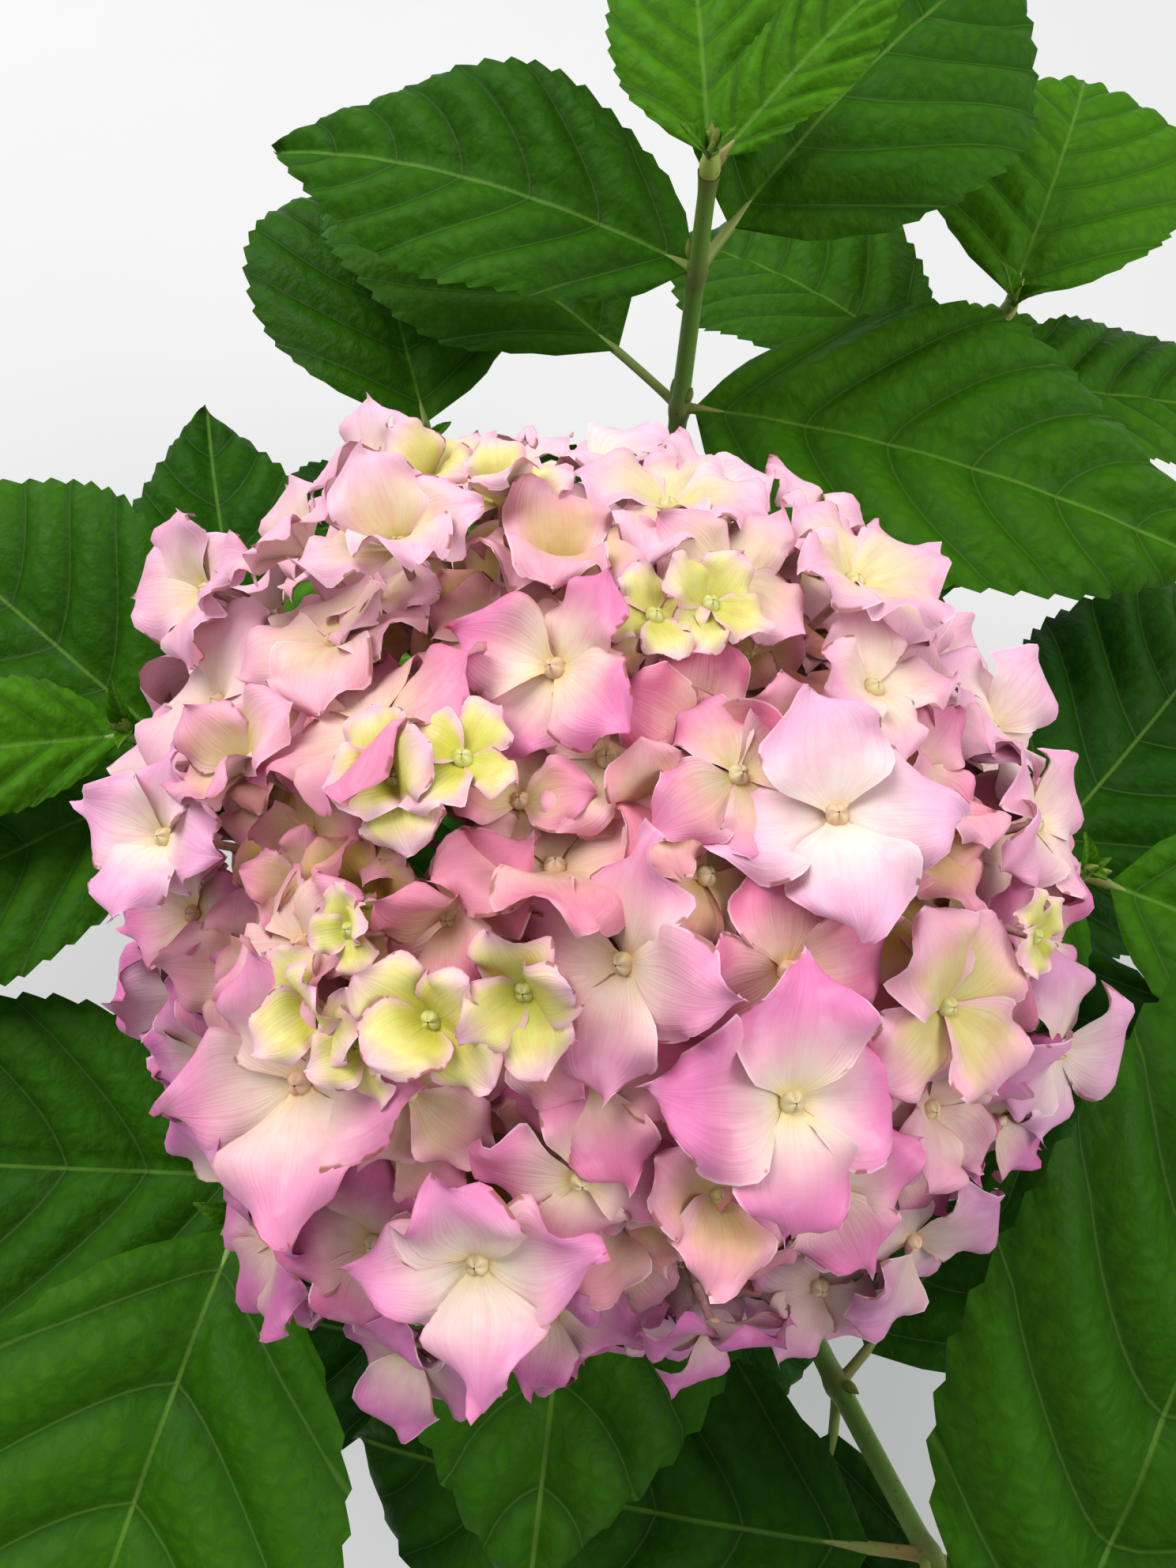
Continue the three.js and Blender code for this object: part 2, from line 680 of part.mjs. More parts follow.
function makeShrub() {
  const stems = shoots.map((shoot, i) => stemOf(shoot, i));
  const leaves = growLeaves(stems);
  const shrub = new THREE.Group();
  shrub.add(toMesh('pot', makePot(), potPlastic));
  shrub.add(toMesh('compost', makeCompost(), compostEarth));
  shrub.add(toMesh('woody_stock', makeStock(stems), bark));
  shoots.forEach((shoot, i) => {
    const own = leaves.filter((item) => item.shootName === shoot.name);
    shrub.add(toMesh(`bough_${shoot.name}`, makeBough(stems[i]), greenStem));
    shrub.add(toMesh(`leaves_${shoot.name}`, makeLeafMass(shoot, stems[i], own), leafGreen));
  });
  shrub.add(toMesh('flower_head', makeFlowerHead(stems[0]), sepalPink));
  return shrub;
}

export default makeShrub();
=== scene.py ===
import math
from itertools import product
from types import SimpleNamespace

import bpy
import numpy as np
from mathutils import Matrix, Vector, noise


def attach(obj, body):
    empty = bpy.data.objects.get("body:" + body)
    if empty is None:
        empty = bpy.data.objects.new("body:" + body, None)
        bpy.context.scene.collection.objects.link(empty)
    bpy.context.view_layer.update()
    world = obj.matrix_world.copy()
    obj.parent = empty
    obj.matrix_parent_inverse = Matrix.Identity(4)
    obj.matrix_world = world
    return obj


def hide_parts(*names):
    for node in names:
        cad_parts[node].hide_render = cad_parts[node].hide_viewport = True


# A potted hydrangea shrub with one open mophead. Its solids are the frame; this script grows the
# fine plant by the same rule. Lengths are in millimetres until a mesh is made, and named angles are
# in degrees. The stage, at the end, is in metres.

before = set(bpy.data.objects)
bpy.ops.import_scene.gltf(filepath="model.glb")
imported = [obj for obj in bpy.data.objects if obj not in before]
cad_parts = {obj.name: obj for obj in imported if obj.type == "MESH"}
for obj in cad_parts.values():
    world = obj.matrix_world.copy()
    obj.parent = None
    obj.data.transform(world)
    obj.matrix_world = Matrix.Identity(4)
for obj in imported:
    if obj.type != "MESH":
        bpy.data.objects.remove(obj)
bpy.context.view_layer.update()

MM = 0.001
UP = np.array([0.0, 0.0, 1.0])
GOLDEN_SHARE = 0.61803398875
GOLDEN_ANGLE = 137.50776

# Pot, compost and stock, as in the solids
POT_HEIGHT = 205
POT_BASE_RADIUS = 90
POT_TOP_RADIUS = 118
POT_WALL = 2.2
POT_FLOOR = 3
LIP_HEIGHT = 14
LIP_PROUD = 4
DRAIN_HOLES = 8
DRAIN_RADIUS = 5
DRAIN_RING = 66
COMPOST_TOP = 178
COMPOST_SETTLED = 5
STOCK_FOOT = 15
STOCK_HEAD = 11
STOCK_TOP = 212
STOCK_FLARE = [1.2, 0.9, 0.8, 0.78, 0.72]
STOCK_LEAN = [2, -3]

# Shoots and leaves, as in the solids
SHOOT_FOOT = 4.6
SHOOT_TIP = 2.1
BARE_BELOW_NODE = 0.06
SHOOT_SPREAD = 5
SHOOT_STAGGER = 4
PETIOLE_LENGTH = 12
PETIOLE_RADIUS = 1.5
LEAF_SLIMNESS = 0.58
LEAF_ARCH = 34
LEAF_FOLD = 13
LEAF_BANK = 9
LEAF_RISE = 8
RISE_LOST_BY_NODE = 13
YOUNG_RISE = 16
YOUNG_SHARE = 0.66
WIDEST_PART = 0.85
LEAF_GAP = 8
NEAR_NODE = 0.3
POT_KEEP_OUT = (132, 222)
GROUND_KEEP_OUT = 8
SWINGS = [0, 9, -9, 18, -18, 28, -28]
NODS = [0, -6, 6, -12, 12, -19, 19, -27]
SHRINKS = [1, 0.86, 0.72]

# Flower head: the solids' own form, with florets at their true size and number
HEAD_CENTRE = np.array([-5.0, -40.0, 440.0])
HEAD_AXIS = np.array([0.0, -0.15, 0.989]) / math.hypot(0.15, 0.989)
HEAD_ACROSS = 80
HEAD_ALONG = 60
HEAD_LOWEST = 112
FORK_DEPTH = 42
RAY_REACH = 0.5
RAY_COUNT = 7
RAY_POLAR = 76
RAY_RADIUS = 1.5
STALK_RADIUS = 0.75
FLORET_RADIUS = 15.5
FLORET_SPACING = 0.55
LAYER_REACH = 0.95
LAYER_DEPTHS = [0, 0.05, 0.1, 0.15]
FACING_DEPTH = 0.95
FILL_COUNT = 420
HEAD_KEEP_OUT = 1.2

# Shoots: tip, where the stem bends up, leaf nodes from the tip down, turn of the top pair, leaf reach
SHOOTS = {
    "centre": ((-4, -36, 375), (0.5, 290), (0.78, 0.56, 0.34), 87, 150),
    "back": ((20, 133, 428), (1.1, 250), (1, 0.9, 0.73, 0.54), 91, 150),
    "back_right": ((116, 153, 352), (0.85, 255), (1, 0.86, 0.68), 68, 130),
    "right": ((118, -16, 352), (0.85, 245), (1, 0.84, 0.66), 22, 135),
    "front_right": ((80, -194, 368), (0.75, 250), (1, 0.84, 0.64), 72, 145),
    "front": ((-38, -158, 292), (0.8, 232), (1, 0.82, 0.62), -100, 130),
    "front_left": ((-90, -98, 352), (0.85, 245), (1, 0.84, 0.64), 250, 145),
    "left": ((-126, 20, 356), (0.85, 250), (1, 0.86, 0.68), 185, 140),
    "back_left": ((-60, 138, 302), (0.95, 242), (1, 0.8, 0.6), 105, 86),
}

# Leaves with a place of their own: azimuth, rise, reach, width, petiole
SET_LEAVES = {
    ("back", 0, 0): (92, -4, 86, 44, 4),
    ("back", 0, 1): (41, 8, 66, 26, 4),
    ("back", 1, 0): (51, 3, 142, 96, 14),
    ("back", 1, 1): (158, -4, 124, 64, 1),
    ("back", 2, 0): (-21, 3, 160, 92, 5),
    ("back", 2, 1): (136, -9, 165, 84, 26),
    ("back_right", 0, 0): (68, -8, 115, 80, 6),
    ("back_right", 1, 0): (4, -16, 122, 62, 8),
    ("back_right", 1, 1): (127, -24, 150, 76, 20),
    ("right", 0, 0): (-24, -5, 112, 74, 8),
    ("right", 1, 0): (46, -14, 150, 88, 14),
    ("front_right", 0, 0): (68, 16, 182, 100, 4),
    ("front_right", 1, 0): (174, -16, 150, 90, 14),
    ("front_left", 0, 0): (254, -5, 160, 102, 4),
    ("front_left", 1, 1): (178, -8, 150, 92, 10),
    ("left", 0, 0): (190, 4, 84, 40, 4),
    ("left", 1, 0): (140, -4, 140, 92, 8),
    ("left", 1, 1): (212, -8, 116, 74, 8),
    ("left", 2, 0): (102, 8, 135, 66, 16),
    ("back_left", 0, 0): (105, -6, 132, 96, 10),
}

# Florets with a place of their own: azimuth, polar angle, radius, turn, youth from 0 pink to 1 green,
# and for some how far the floret leans over and towards which azimuth
SET_FLORETS = [
    (215, 21, 12, 45, 0.85),
    (228, 12, 11, 20, 0.8),
    (201, 33, 10, 40, 0.95),
    (211, 29, 8, 10, 0.9),
    (188, 26, 6, 20, 1.0),
    (152, 24, 10, 20, 0.9),
    (138, 19, 9, 60, 0.85),
    (103, 25, 17, 55, 0.05, 24, 200),
    (145, 33, 21, 19, 0.0, 34, 110),
    (157, 7, 17, 15, 0.1, 42, 80),
    (284, 7, 18, 80, 0.1, 46, 190),
    (19, 24, 17, 8, 0.08),
    (337, 21, 16, 12, 0.15),
    (311, 27, 19, 0, 0.0),
    (250, 42, 20, 8, 0.0, 14, 80),
    (211, 43, 23, 8, 0.05, 12, 40),
    (91, 15, 12, 45, 0.45),
    (62, 12, 12, 10, 0.55),
    (43, 18, 13, 30, 0.35),
    (63, 23, 15, 70, 0.15, 24, 270),
    (11, 11, 15, 60, 0.35, 30, 20),
    (187, 19, 15, 35, 0.0, 24, 250),
    (189, 39, 16, 25, 0.2),
    (224, 32, 14, 52, 0.5),
    (264, 20, 15, 15, 0.2),
    (282, 22, 14, 50, 0.1),
    (264, 31, 15, 80, 0.15),
    (342, 41, 15, 40, 0.55),
    (325, 38, 15, 70, 0.25),
    (38, 41, 14, 5, 0.4),
    (23, 44, 14, 55, 0.2),
    (9, 42, 12, 20, 0.5),
    (358, 35, 11, 0, 0.7),
    (355, 51, 7, 30, 1.0),
    (10, 60, 15, 40, 0.1),
    (342, 73, 17, 15, 0.0),
    (327, 54, 15, 50, 0.15),
    (331, 72, 17, 75, 0.0),
    (307, 42, 15, 20, 0.05),
    (290, 39, 14, 60, 0.5),
    (299, 50, 14, 10, 0.35),
    (312, 74, 17, 40, 0.1),
    (274, 46, 14, 30, 0.3),
    (262, 58, 16, 70, 0.1),
    (218, 60, 17, 20, 0.0),
    (226, 74, 17, 60, 0.0),
    (172, 58, 15, 70, 0.0),
    (167, 73, 17, 20, 0.0),
    (153, 70, 17, 50, 0.05),
    (142, 74, 15, 10, 0.3),
    (160, 47, 13, 30, 0.5),
    (168, 41, 12, 0, 0.5),
    (131, 62, 15, 20, 0.3),
    (121, 46, 15, 25, 0.5),
    (137, 52, 16, 15, 0.4),
    (113, 37, 14, 50, 0.4),
    (98, 43, 15, 5, 0.5),
    (150, 56, 14, 60, 0.2),
    (118, 74, 16, 5, 0.1),
    (104, 70, 16, 40, 0.3),
    (113, 60, 11, 60, 0.85),
    (105, 51, 11, 15, 0.8),
    (93, 60, 15, 30, 0.45),
    (81, 54, 15, 70, 0.45),
    (84, 40, 14, 10, 0.55),
    (69, 43, 15, 50, 0.5),
    (81, 30, 8, 20, 0.85),
    (71, 34, 9, 60, 0.9),
    (52, 50, 15, 25, 0.5),
    (48, 72, 16, 60, 0.4),
]

# Where the head is still young: azimuth, polar angle, spread in degrees, youth at the middle
YOUNG_PATCHES = [
    (145, 24, 8, 0.9),
    (214, 26, 10, 0.9),
    (108, 62, 13, 0.85),
    (80, 31, 8, 0.85),
    (355, 46, 10, 0.9),
    (50, 50, 14, 0.55),
    (86, 46, 14, 0.5),
    (95, 60, 32, 0.36),
    (180, 48, 22, 0.32),
    (294, 46, 9, 0.65),
]

# Where the head bulges or dips round its rim: azimuth, spread in degrees, share of its radius
HEAD_SHOULDERS = [
    (135, 24, 0.13),
    (275, 22, -0.12),
    (25, 12, -0.08),
    (75, 20, -0.07),
    (200, 14, -0.07),
    (235, 12, 0.05),
    (316, 12, -0.06),
    (6, 8, 0.06),
]

# Blades and sepals: rows, columns, teeth, side veins, thickness, and a sepal's curl and twist
BLADE_ROWS = 80
BLADE_COLUMNS = 18
BLADE_TEETH = 18
BLADE_THICKNESS = 0.5
SIDE_VEINS = 6.5
SEPAL_ROWS = 16
SEPAL_COLUMNS = 10
SEPAL_THICKNESS = 0.3
SEPAL_CURL = 24
TIP_CURL = 34
SEPAL_TWIST = 0.6

# Kinds of florets by radius and youth, and the small and inner ones
LARGE_FLORET = 18
OPEN_FLORET = 16
COVERING_FLORET = 15
GREEN_YOUTH = 0.8
USUAL_YOUTH = 0.12
SMALL_FLORETS = 34
SMALL_RADIUS = 11.5
SMALL_REACH = 0.84
SMALL_SPACING = 0.62
SMALL_APART = 15
INNER_FLORETS = 72
INNER_RADIUS = 13
INNER_REACH = 0.74

# Relief of leaves and sepals, as shares of their length or half width
TOOTH_DEPTH = 0.017
QUILT_HEIGHT = 0.03
MARGIN_WAVE = 0.024
MARGIN_ROLL = 0.10
SEPAL_RIPPLE = 0.125
SEPAL_ROLL = 0.34
SEPAL_SWAY = 0.13

# Pot and compost details. The lip's points are out and up from its foot, then in and down from its edge.
POT_SIDES = 144
POT_RIBS = 24
RIB_HEIGHT = 0.5
RIB_TOP = 70
BAND_TOP = 174
BAND_DEPTH = 0.45
COMPOST_GAP = 0.35
LIP_UNDERSIDE = [(0.6, -0.3), (LIP_PROUD - 0.8, 0.4), (LIP_PROUD, 1.4)]
LIP_ROLL = [(0.3, 2.6), (0.5, 1.2), (1.4, 0.3), (2.6, 0)]
CHIP_COUNT = 420
LONG_CHIP = 9


def scatter(n):
    """A repeatable scatter between -1 and 1 for item n."""
    part = n * GOLDEN_SHARE
    return (part - np.floor(part)) * 2 - 1


def unit(vector):
    return vector / np.linalg.norm(vector, axis=-1, keepdims=True)


def smooth(low, high, value):
    t = np.clip((value - low) / (high - low), 0, 1)
    return t * t * (3 - 2 * t)


def srgb(red, green, blue):
    """A colour given as it looks on screen, 0 to 255, as the linear values that shaders take."""
    share = np.array([red, green, blue]) / 255
    return np.where(share < 0.04045, share / 12.92, ((share + 0.055) / 1.055) ** 2.4)


def blend(a, b, share):
    share = np.asarray(share)[..., None]
    return a * (1 - share) + b * share


def new_object(name, data):
    made = bpy.data.objects.new(name, data)
    bpy.context.scene.collection.objects.link(made)
    return made


# What a grid's values are kept as, where they aren't plain numbers
ATTRIBUTE_KINDS = {"tint": ("FLOAT_COLOR", "color"), "place": ("FLOAT_VECTOR", "vector")}


class Sheets:
    """Gathers grids of points into one mesh. Each grid gets its own cell of the bake map."""

    def __init__(self):
        self.points, self.faces, self.maps, self.values = [], [], [], {}
        self.count = 0

    def add(self, grid, flip=False, wrap=False, **values):
        rows, columns = grid.shape[:2]
        across = columns if wrap else columns - 1
        i, j = (x.ravel() for x in np.mgrid[0:rows - 1, 0:across])
        down = np.stack([i, i, i + 1, i + 1], 1)
        over = np.stack([j, j + 1, j + 1, j], 1)
        if flip:
            down, over = down[:, [0, 3, 2, 1]], over[:, [0, 3, 2, 1]]
        self.faces.append(down * columns + over % columns + self.count)
        self.maps.append(np.stack([over / across, down / (rows - 1)], -1))
        self.points.append(grid.reshape(-1, 3))
        self.count += rows * columns
        for name, value in values.items():
            value = np.asarray(value, float)
            size = 3 if name in ATTRIBUTE_KINDS else 1
            shape = (rows, columns, 3) if size == 3 else (rows, columns)
            self.values.setdefault(name, []).append(np.broadcast_to(value, shape).reshape(-1, size))

    def bake_map(self):
        """Lays the grids' cells out in a square, each a little inside its cell."""
        side = math.ceil(math.sqrt(len(self.maps)))
        corners = (np.array([n % side, n // side]) for n in range(len(self.maps)))
        inside = [corner + 0.06 + 0.88 * local for corner, local in zip(corners, self.maps)]
        return np.concatenate(inside) / side

    def build(self, name, material, slot, *replaced):
        mesh = bpy.data.meshes.new(name)
        points, faces = np.concatenate(self.points) * MM, np.concatenate(self.faces)
        mesh.vertices.add(len(points))
        mesh.vertices.foreach_set("co", points.astype(np.float32).ravel())
        mesh.loops.add(faces.size)
        mesh.loops.foreach_set("vertex_index", faces.astype(np.int32).ravel())
        mesh.polygons.add(len(faces))
        mesh.polygons.foreach_set("loop_start", np.arange(0, faces.size, 4, dtype=np.int32))
        mesh.update(calc_edges=True)
        mesh.shade_smooth()
        bake = mesh.uv_layers.new(name="OFBake")
        bake.data.foreach_set("uv", self.bake_map().astype(np.float32).ravel())
        for key, parts in self.values.items():
            kept = np.concatenate(parts)
            if key == "tint":
                kept = np.column_stack([kept, np.ones(len(kept))])
            kind, field = ATTRIBUTE_KINDS.get(key, ("FLOAT", "value"))
            attribute = mesh.attributes.new(key, kind, "POINT")
            attribute.data.foreach_set(field, kept.astype(np.float32).ravel())
        mesh.materials.append(material)
        piece = new_object(name, mesh)
        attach(piece, "root")
        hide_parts(*replaced)
        return piece


def full_turn(count):
    """Angles spread evenly round a full turn."""
    return np.linspace(0, 2 * np.pi, count, endpoint=False)


def tube(centres, radii, sides, squash=1.0):
    """A round grid along a row of centres."""
    along = unit(np.gradient(centres, axis=0))
    hint = np.array([1.0, 0.0, 0.0]) if abs(along[:, 2]).mean() > 0.9 else UP
    across = unit(np.cross(hint, along))
    other = np.cross(along, across)
    angle = full_turn(sides)
    radii = np.asarray(radii, float).reshape(len(centres), -1)
    ring = across[:, None] * np.cos(angle)[:, None] + other[:, None] * np.sin(angle)[:, None] * squash
    return centres[:, None] + ring * radii[..., None]


# The shoots' stems


class Stem:
    def __init__(self, name, order):
        self.name, self.order = name, order
        self.tip, (reach, height), self.nodes, self.turn, self.reach = SHOOTS[name]
        self.tip = np.array(self.tip, float)
        azimuth = math.atan2(self.tip[1], self.tip[0])
        spread = SHOOT_SPREAD if order else 0
        drop = 6 + SHOOT_STAGGER * (order % 3) if order else 2 * SHOOT_STAGGER
        self.foot = np.array([
            STOCK_LEAN[0] + spread * math.cos(azimuth),
            STOCK_LEAN[1] + spread * math.sin(azimuth),
            STOCK_TOP - drop,
        ])
        self.elbow = np.array([self.tip[0] * reach, self.tip[1] * reach, height])
        self.mass_start = self.nodes[-1] - BARE_BELOW_NODE
        points = self.point(np.linspace(0, 1, 201))
        self.length = np.linalg.norm(np.diff(points, axis=0), axis=1).sum()

    def point(self, t):
        t = np.asarray(t, float)[..., None]
        return self.foot * (1 - t) ** 2 + self.elbow * 2 * t * (1 - t) + self.tip * t ** 2

    def direction(self, t):
        return unit((self.elbow - self.foot) * (1 - t) + (self.tip - self.elbow) * t)

    def radius(self, t):
        swelling = sum(0.32 * np.exp(-(((t - node) * self.length) / 3.2) ** 2) for node in self.nodes)
        return (SHOOT_FOOT + (SHOOT_TIP - SHOOT_FOOT) * t) * (1 + swelling)


# Leaves: the rule that places them


def make_leaf(base, azimuth, rise, reach, width, petiole, order):
    arch = math.radians(LEAF_ARCH + 8 * scatter(order * 3 + 1))
    length = reach * arch / 2 / math.sin(arch / 2)
    return SimpleNamespace(
        base=base,
        azimuth=math.radians(azimuth),
        rise=math.radians(rise),
        arch=arch,
        length=length,
        stalk=petiole / length,
        half=width / 2,
        fold=math.radians(LEAF_FOLD + 5 * scatter(order * 5 + 2)),
        bank=math.radians(LEAF_BANK * scatter(order * 7 + 3)),
    )


def leaf_point(leaf, v, s, lift):
    """v runs from the node to the tip, s is millimetres across, lift is off the leaf's face."""
    start = leaf.rise + leaf.arch / 2
    slope = start - leaf.arch * v
    out = leaf.length * (math.sin(start) - np.sin(slope)) / leaf.arch
    high = leaf.length * (np.cos(slope) - math.cos(start)) / leaf.arch
    along = np.array([math.cos(leaf.azimuth), math.sin(leaf.azimuth), 0])
    level = np.array([-along[1], along[0], 0])
    face = -along * np.sin(slope)[..., None] + UP * np.cos(slope)[..., None]
    across = level * math.cos(leaf.bank) + face * math.sin(leaf.bank)
    face = face * math.cos(leaf.bank) - level * math.sin(leaf.bank)
    rise = np.abs(s) * math.sin(leaf.fold) + lift
    middle = leaf.base + along * out[..., None] + UP * high[..., None]
    return middle + across * (s * math.cos(leaf.fold))[..., None] + face * rise[..., None]


def leaf_half_width(leaf, v):
    u = np.clip((v - leaf.stalk) / (1 - leaf.stalk), 0, 1)
    swell = np.maximum(np.sin(np.pi * u ** WIDEST_PART), 0)
    return leaf.half * swell ** 0.8 * (1 - 0.3 * u ** 6)


def leaf_cloud(leaf):
    """Points about LEAF_GAP apart all over a leaf, petiole first."""
    rows = math.ceil(leaf.length / LEAF_GAP)
    v, s = [], []
    for i in range(rows + 1):
        half = float(leaf_half_width(leaf, i / rows))
        columns = math.ceil(half / LEAF_GAP)
        v.extend([i / rows] * (2 * columns + 1))
        s.extend(half * np.arange(-columns, columns + 1) / max(columns, 1))
    v, s = np.array(v), np.array(s)
    return SimpleNamespace(points=leaf_point(leaf, v, s, np.zeros(len(v))), v=v)


def boxed(cloud):
    cloud.low = cloud.points.min(0) - LEAF_GAP
    cloud.high = cloud.points.max(0) + LEAF_GAP
    return cloud


def inside_keep_out(points):
    pot_radius, pot_top = POT_KEEP_OUT
    off_axis = np.hypot(points[:, 0], points[:, 1])
    offset = points - HEAD_CENTRE
    along = offset @ HEAD_AXIS
    across = np.sqrt(np.maximum((offset ** 2).sum(1) - along ** 2, 0))
    in_head = np.hypot(across / HEAD_ACROSS, along / HEAD_ALONG) < HEAD_KEEP_OUT
    in_pot = (points[:, 2] < pot_top) & (off_axis < pot_radius)
    return (in_head | in_pot | (points[:, 2] < GROUND_KEEP_OUT)).any()


def leaf_fits(cloud, name, placed):
    """True if no point of a leaf is near another leaf or stem, the head, the pot or the ground."""
    if inside_keep_out(cloud.points):
        return False
    boxed(cloud)
    for other in placed:
        if (cloud.low > other.high).any() or (cloud.high < other.low).any():
            continue
        a, b = cloud.points, other.points
        if other.shoot == name:
            a, b = a[cloud.v >= NEAR_NODE], b[other.v >= NEAR_NODE]
        if not len(a) or not len(b):
            continue
        apart = ((a[:, None] - b[None]) ** 2).sum(-1).min()
        if apart < LEAF_GAP ** 2:
            return False
    return True


def rule_leaves(stem):
    """The leaves a shoot bears by rule: opposite pairs, each a quarter turn from the next."""
    found = []
    for node in range(len(stem.nodes)):
        for side in range(2):
            order = stem.order * 10 + node * 2 + side
            young = node == 0 and stem.name != "centre"
            share = YOUNG_SHARE if young else 1 - 0.07 * node
            size = stem.reach * share * (1 + 0.08 * scatter(order))
            usual_rise = YOUNG_RISE if young else LEAF_RISE - RISE_LOST_BY_NODE * node
            rise = usual_rise + 5 * scatter(order * 2 + 5)
            azimuth = stem.turn + 90 * node + 180 * side + 12 * scatter(order + 40)
            petiole = PETIOLE_LENGTH * (0.4 if young else 1)
            measures = (azimuth, rise, size, size * LEAF_SLIMNESS, petiole)
            key = (stem.name, node, side)
            measures = SET_LEAVES.get(key, measures)
            found.append(SimpleNamespace(key=key, stem=stem, order=order, young=young, measures=measures))
    return found


def settle(wanted, placed):
    """Tries a leaf where it is wanted, then a little round it, then smaller, and else skips it."""
    name, node, _ = wanted.key
    base = wanted.stem.point(wanted.stem.nodes[node])
    azimuth, rise, reach, width, petiole = wanted.measures
    for shrink, swing, nod in product(SHRINKS, SWINGS, NODS):
        size = (reach * shrink, width * shrink)
        leaf = make_leaf(base, azimuth + swing, rise + nod, *size, petiole, wanted.order)
        cloud = leaf_cloud(leaf)
        if leaf_fits(cloud, name, placed):
            cloud.shoot, cloud.leaf, cloud.wanted = name, leaf, wanted
            return cloud
    return None


def grow_leaves(stems):
    placed = []
    for stem in stems:
        count = math.ceil(stem.length / LEAF_GAP * 1.5)
        points = stem.point(np.linspace(0, 1, count + 1))
        whole = np.ones(len(points))
        placed.append(boxed(SimpleNamespace(shoot=stem.name, leaf=None, points=points, v=whole)))
    wanted = [leaf for stem in stems for leaf in rule_leaves(stem)]
    ordered = [leaf for leaf in wanted if leaf.key in SET_LEAVES]
    ordered += [leaf for leaf in wanted if leaf.key not in SET_LEAVES]
    for leaf in ordered:
        found = settle(leaf, placed)
        if found:
            placed.append(found)
    return [item for item in placed if item.leaf]


# Leaves: their fine meshes


def blade_relief(leaf, rib, u, q, s, half, seed):
    """How far a blade's face lifts: quilted between side veins, grooved on its middle, wavy outside."""
    fade = (1 - np.abs(q) ** 5) * np.minimum(1, np.abs(s) / 5)
    fade = fade * np.minimum(1, 9 * (1 - u)) * np.minimum(1, 7 * u)
    quilt = QUILT_HEIGHT * leaf.length * np.sin(np.pi * (rib % 1)) ** 1.2 * fade
    groove = -0.9 * np.exp(-(s / 2.2) ** 2) * np.minimum(1, 6 * u)
    sway = np.sin(2 * np.pi * (1.7 * u + 0.5 * seed) + 0.8 * np.sign(q))
    wave = MARGIN_WAVE * leaf.length * q ** 2 * sway
    roll = -MARGIN_ROLL * half * q ** 4
    blunt = np.sqrt(s ** 2 + 6) - np.abs(s)
    return quilt + groove + wave * np.minimum(1, 4 * u) + roll + blunt * math.sin(leaf.fold)


def blade(sheets, leaf, order, tone, rows=BLADE_ROWS, columns=BLADE_COLUMNS, teeth=BLADE_TEETH):
    """One toothed, quilted blade, upper and lower face. Its rows of points follow the side veins."""
    row = np.linspace(0, 1, rows + 1)[:, None] ** 1.3
    q = np.linspace(-1, 1, columns + 1)[None, :]
    u = row ** (1 / (1 + 0.2 * np.abs(q) + 0.9 * q ** 2 + 0.05 * q))
    seed = scatter(order * 11 + 6)
    saw = (u * teeth + 0.3 * seed) % 1
    tooth = TOOTH_DEPTH * leaf.length * np.minimum(1, 8 * u * (1 - u))
    v = leaf.stalk + (1 - leaf.stalk) * u
    half = np.maximum(leaf_half_width(leaf, v), 0.35)
    s = q * half + np.sign(q) * np.abs(q) ** 6 * tooth * (saw - 0.3)
    rib = SIDE_VEINS * row + 0.6
    lift = blade_relief(leaf, rib, u, q, s, half, seed)
    place = np.stack(np.broadcast_arrays(rib, s, u * leaf.length), -1)
    values = {"place": place, "tone": tone, "seed": seed}
    thick = BLADE_THICKNESS * (1 - q ** 8) * np.minimum(1, 20 * (1 - u)) + 0.02
    sheets.add(leaf_point(leaf, v, s, lift), under=0, **values)
    sheets.add(leaf_point(leaf, v, s, lift - thick), under=1, flip=True, **values)


def midrib(sheets, leaf, red):
    """The petiole, which runs on under the blade as its midrib."""
    stalk = leaf.stalk
    v = np.concatenate([np.linspace(0, stalk, 9)[:-1], np.linspace(stalk, 0.93, 20)])
    u = np.clip((v - stalk) / (1 - stalk), 0, 1)
    flare = 1 + 0.6 * np.exp(-v * leaf.length / 2.5)
    radii = PETIOLE_RADIUS * flare * (1 - 0.8 * u ** 0.7) * (0.8 + 0.2 * leaf.half / 45)
    lift = -(0.9 + 0.8 * radii) * np.minimum(1, 7 * u)
    centres = leaf_point(leaf, v, np.zeros(len(v)), lift)
    green, ruddy = srgb(128, 158, 74), srgb(140, 100, 62)
    tint = blend(green, ruddy, red * np.exp(-v * leaf.length / 22))
    sheets.add(tube(centres, radii, 10, 0.85), wrap=True, tint=tint[:, None], green=1)


def leaf_light_and_youth(item):
    """How light a leaf is: young leaves are lighter; those at the back and left are lighter with painted
    light, and low ones darker with painted shade.
    """
    shoot, node, _ = item.wanted.key
    # Lower nodes are darker with painted shade; the scatter is each leaf's own tone.
    tone = 0.1 - 0.1 * node + 0.16 * scatter(item.wanted.order * 3)
    if item.wanted.young:
        tone += 0.25
    # Painted light on the leaves at the back, back right and left.
    if shoot in ("back", "back_right") and node < 3:
        tone += 0.3
    if shoot == "left":
        tone += 0.25
    return tone


# Flower head: the rule that places the florets

HEAD_EAST = np.array([1.0, 0.0, 0.0])
HEAD_NORTH = np.cross(HEAD_AXIS, HEAD_EAST)


def head_point(azimuth, polar, scale):
    azimuth, polar = math.radians(azimuth), math.radians(polar)
    out = math.sin(polar) * HEAD_ACROSS * scale
    across = HEAD_EAST * math.cos(azimuth) + HEAD_NORTH * math.sin(azimuth)
    return HEAD_CENTRE + across * out + HEAD_AXIS * math.cos(polar) * HEAD_ALONG * scale


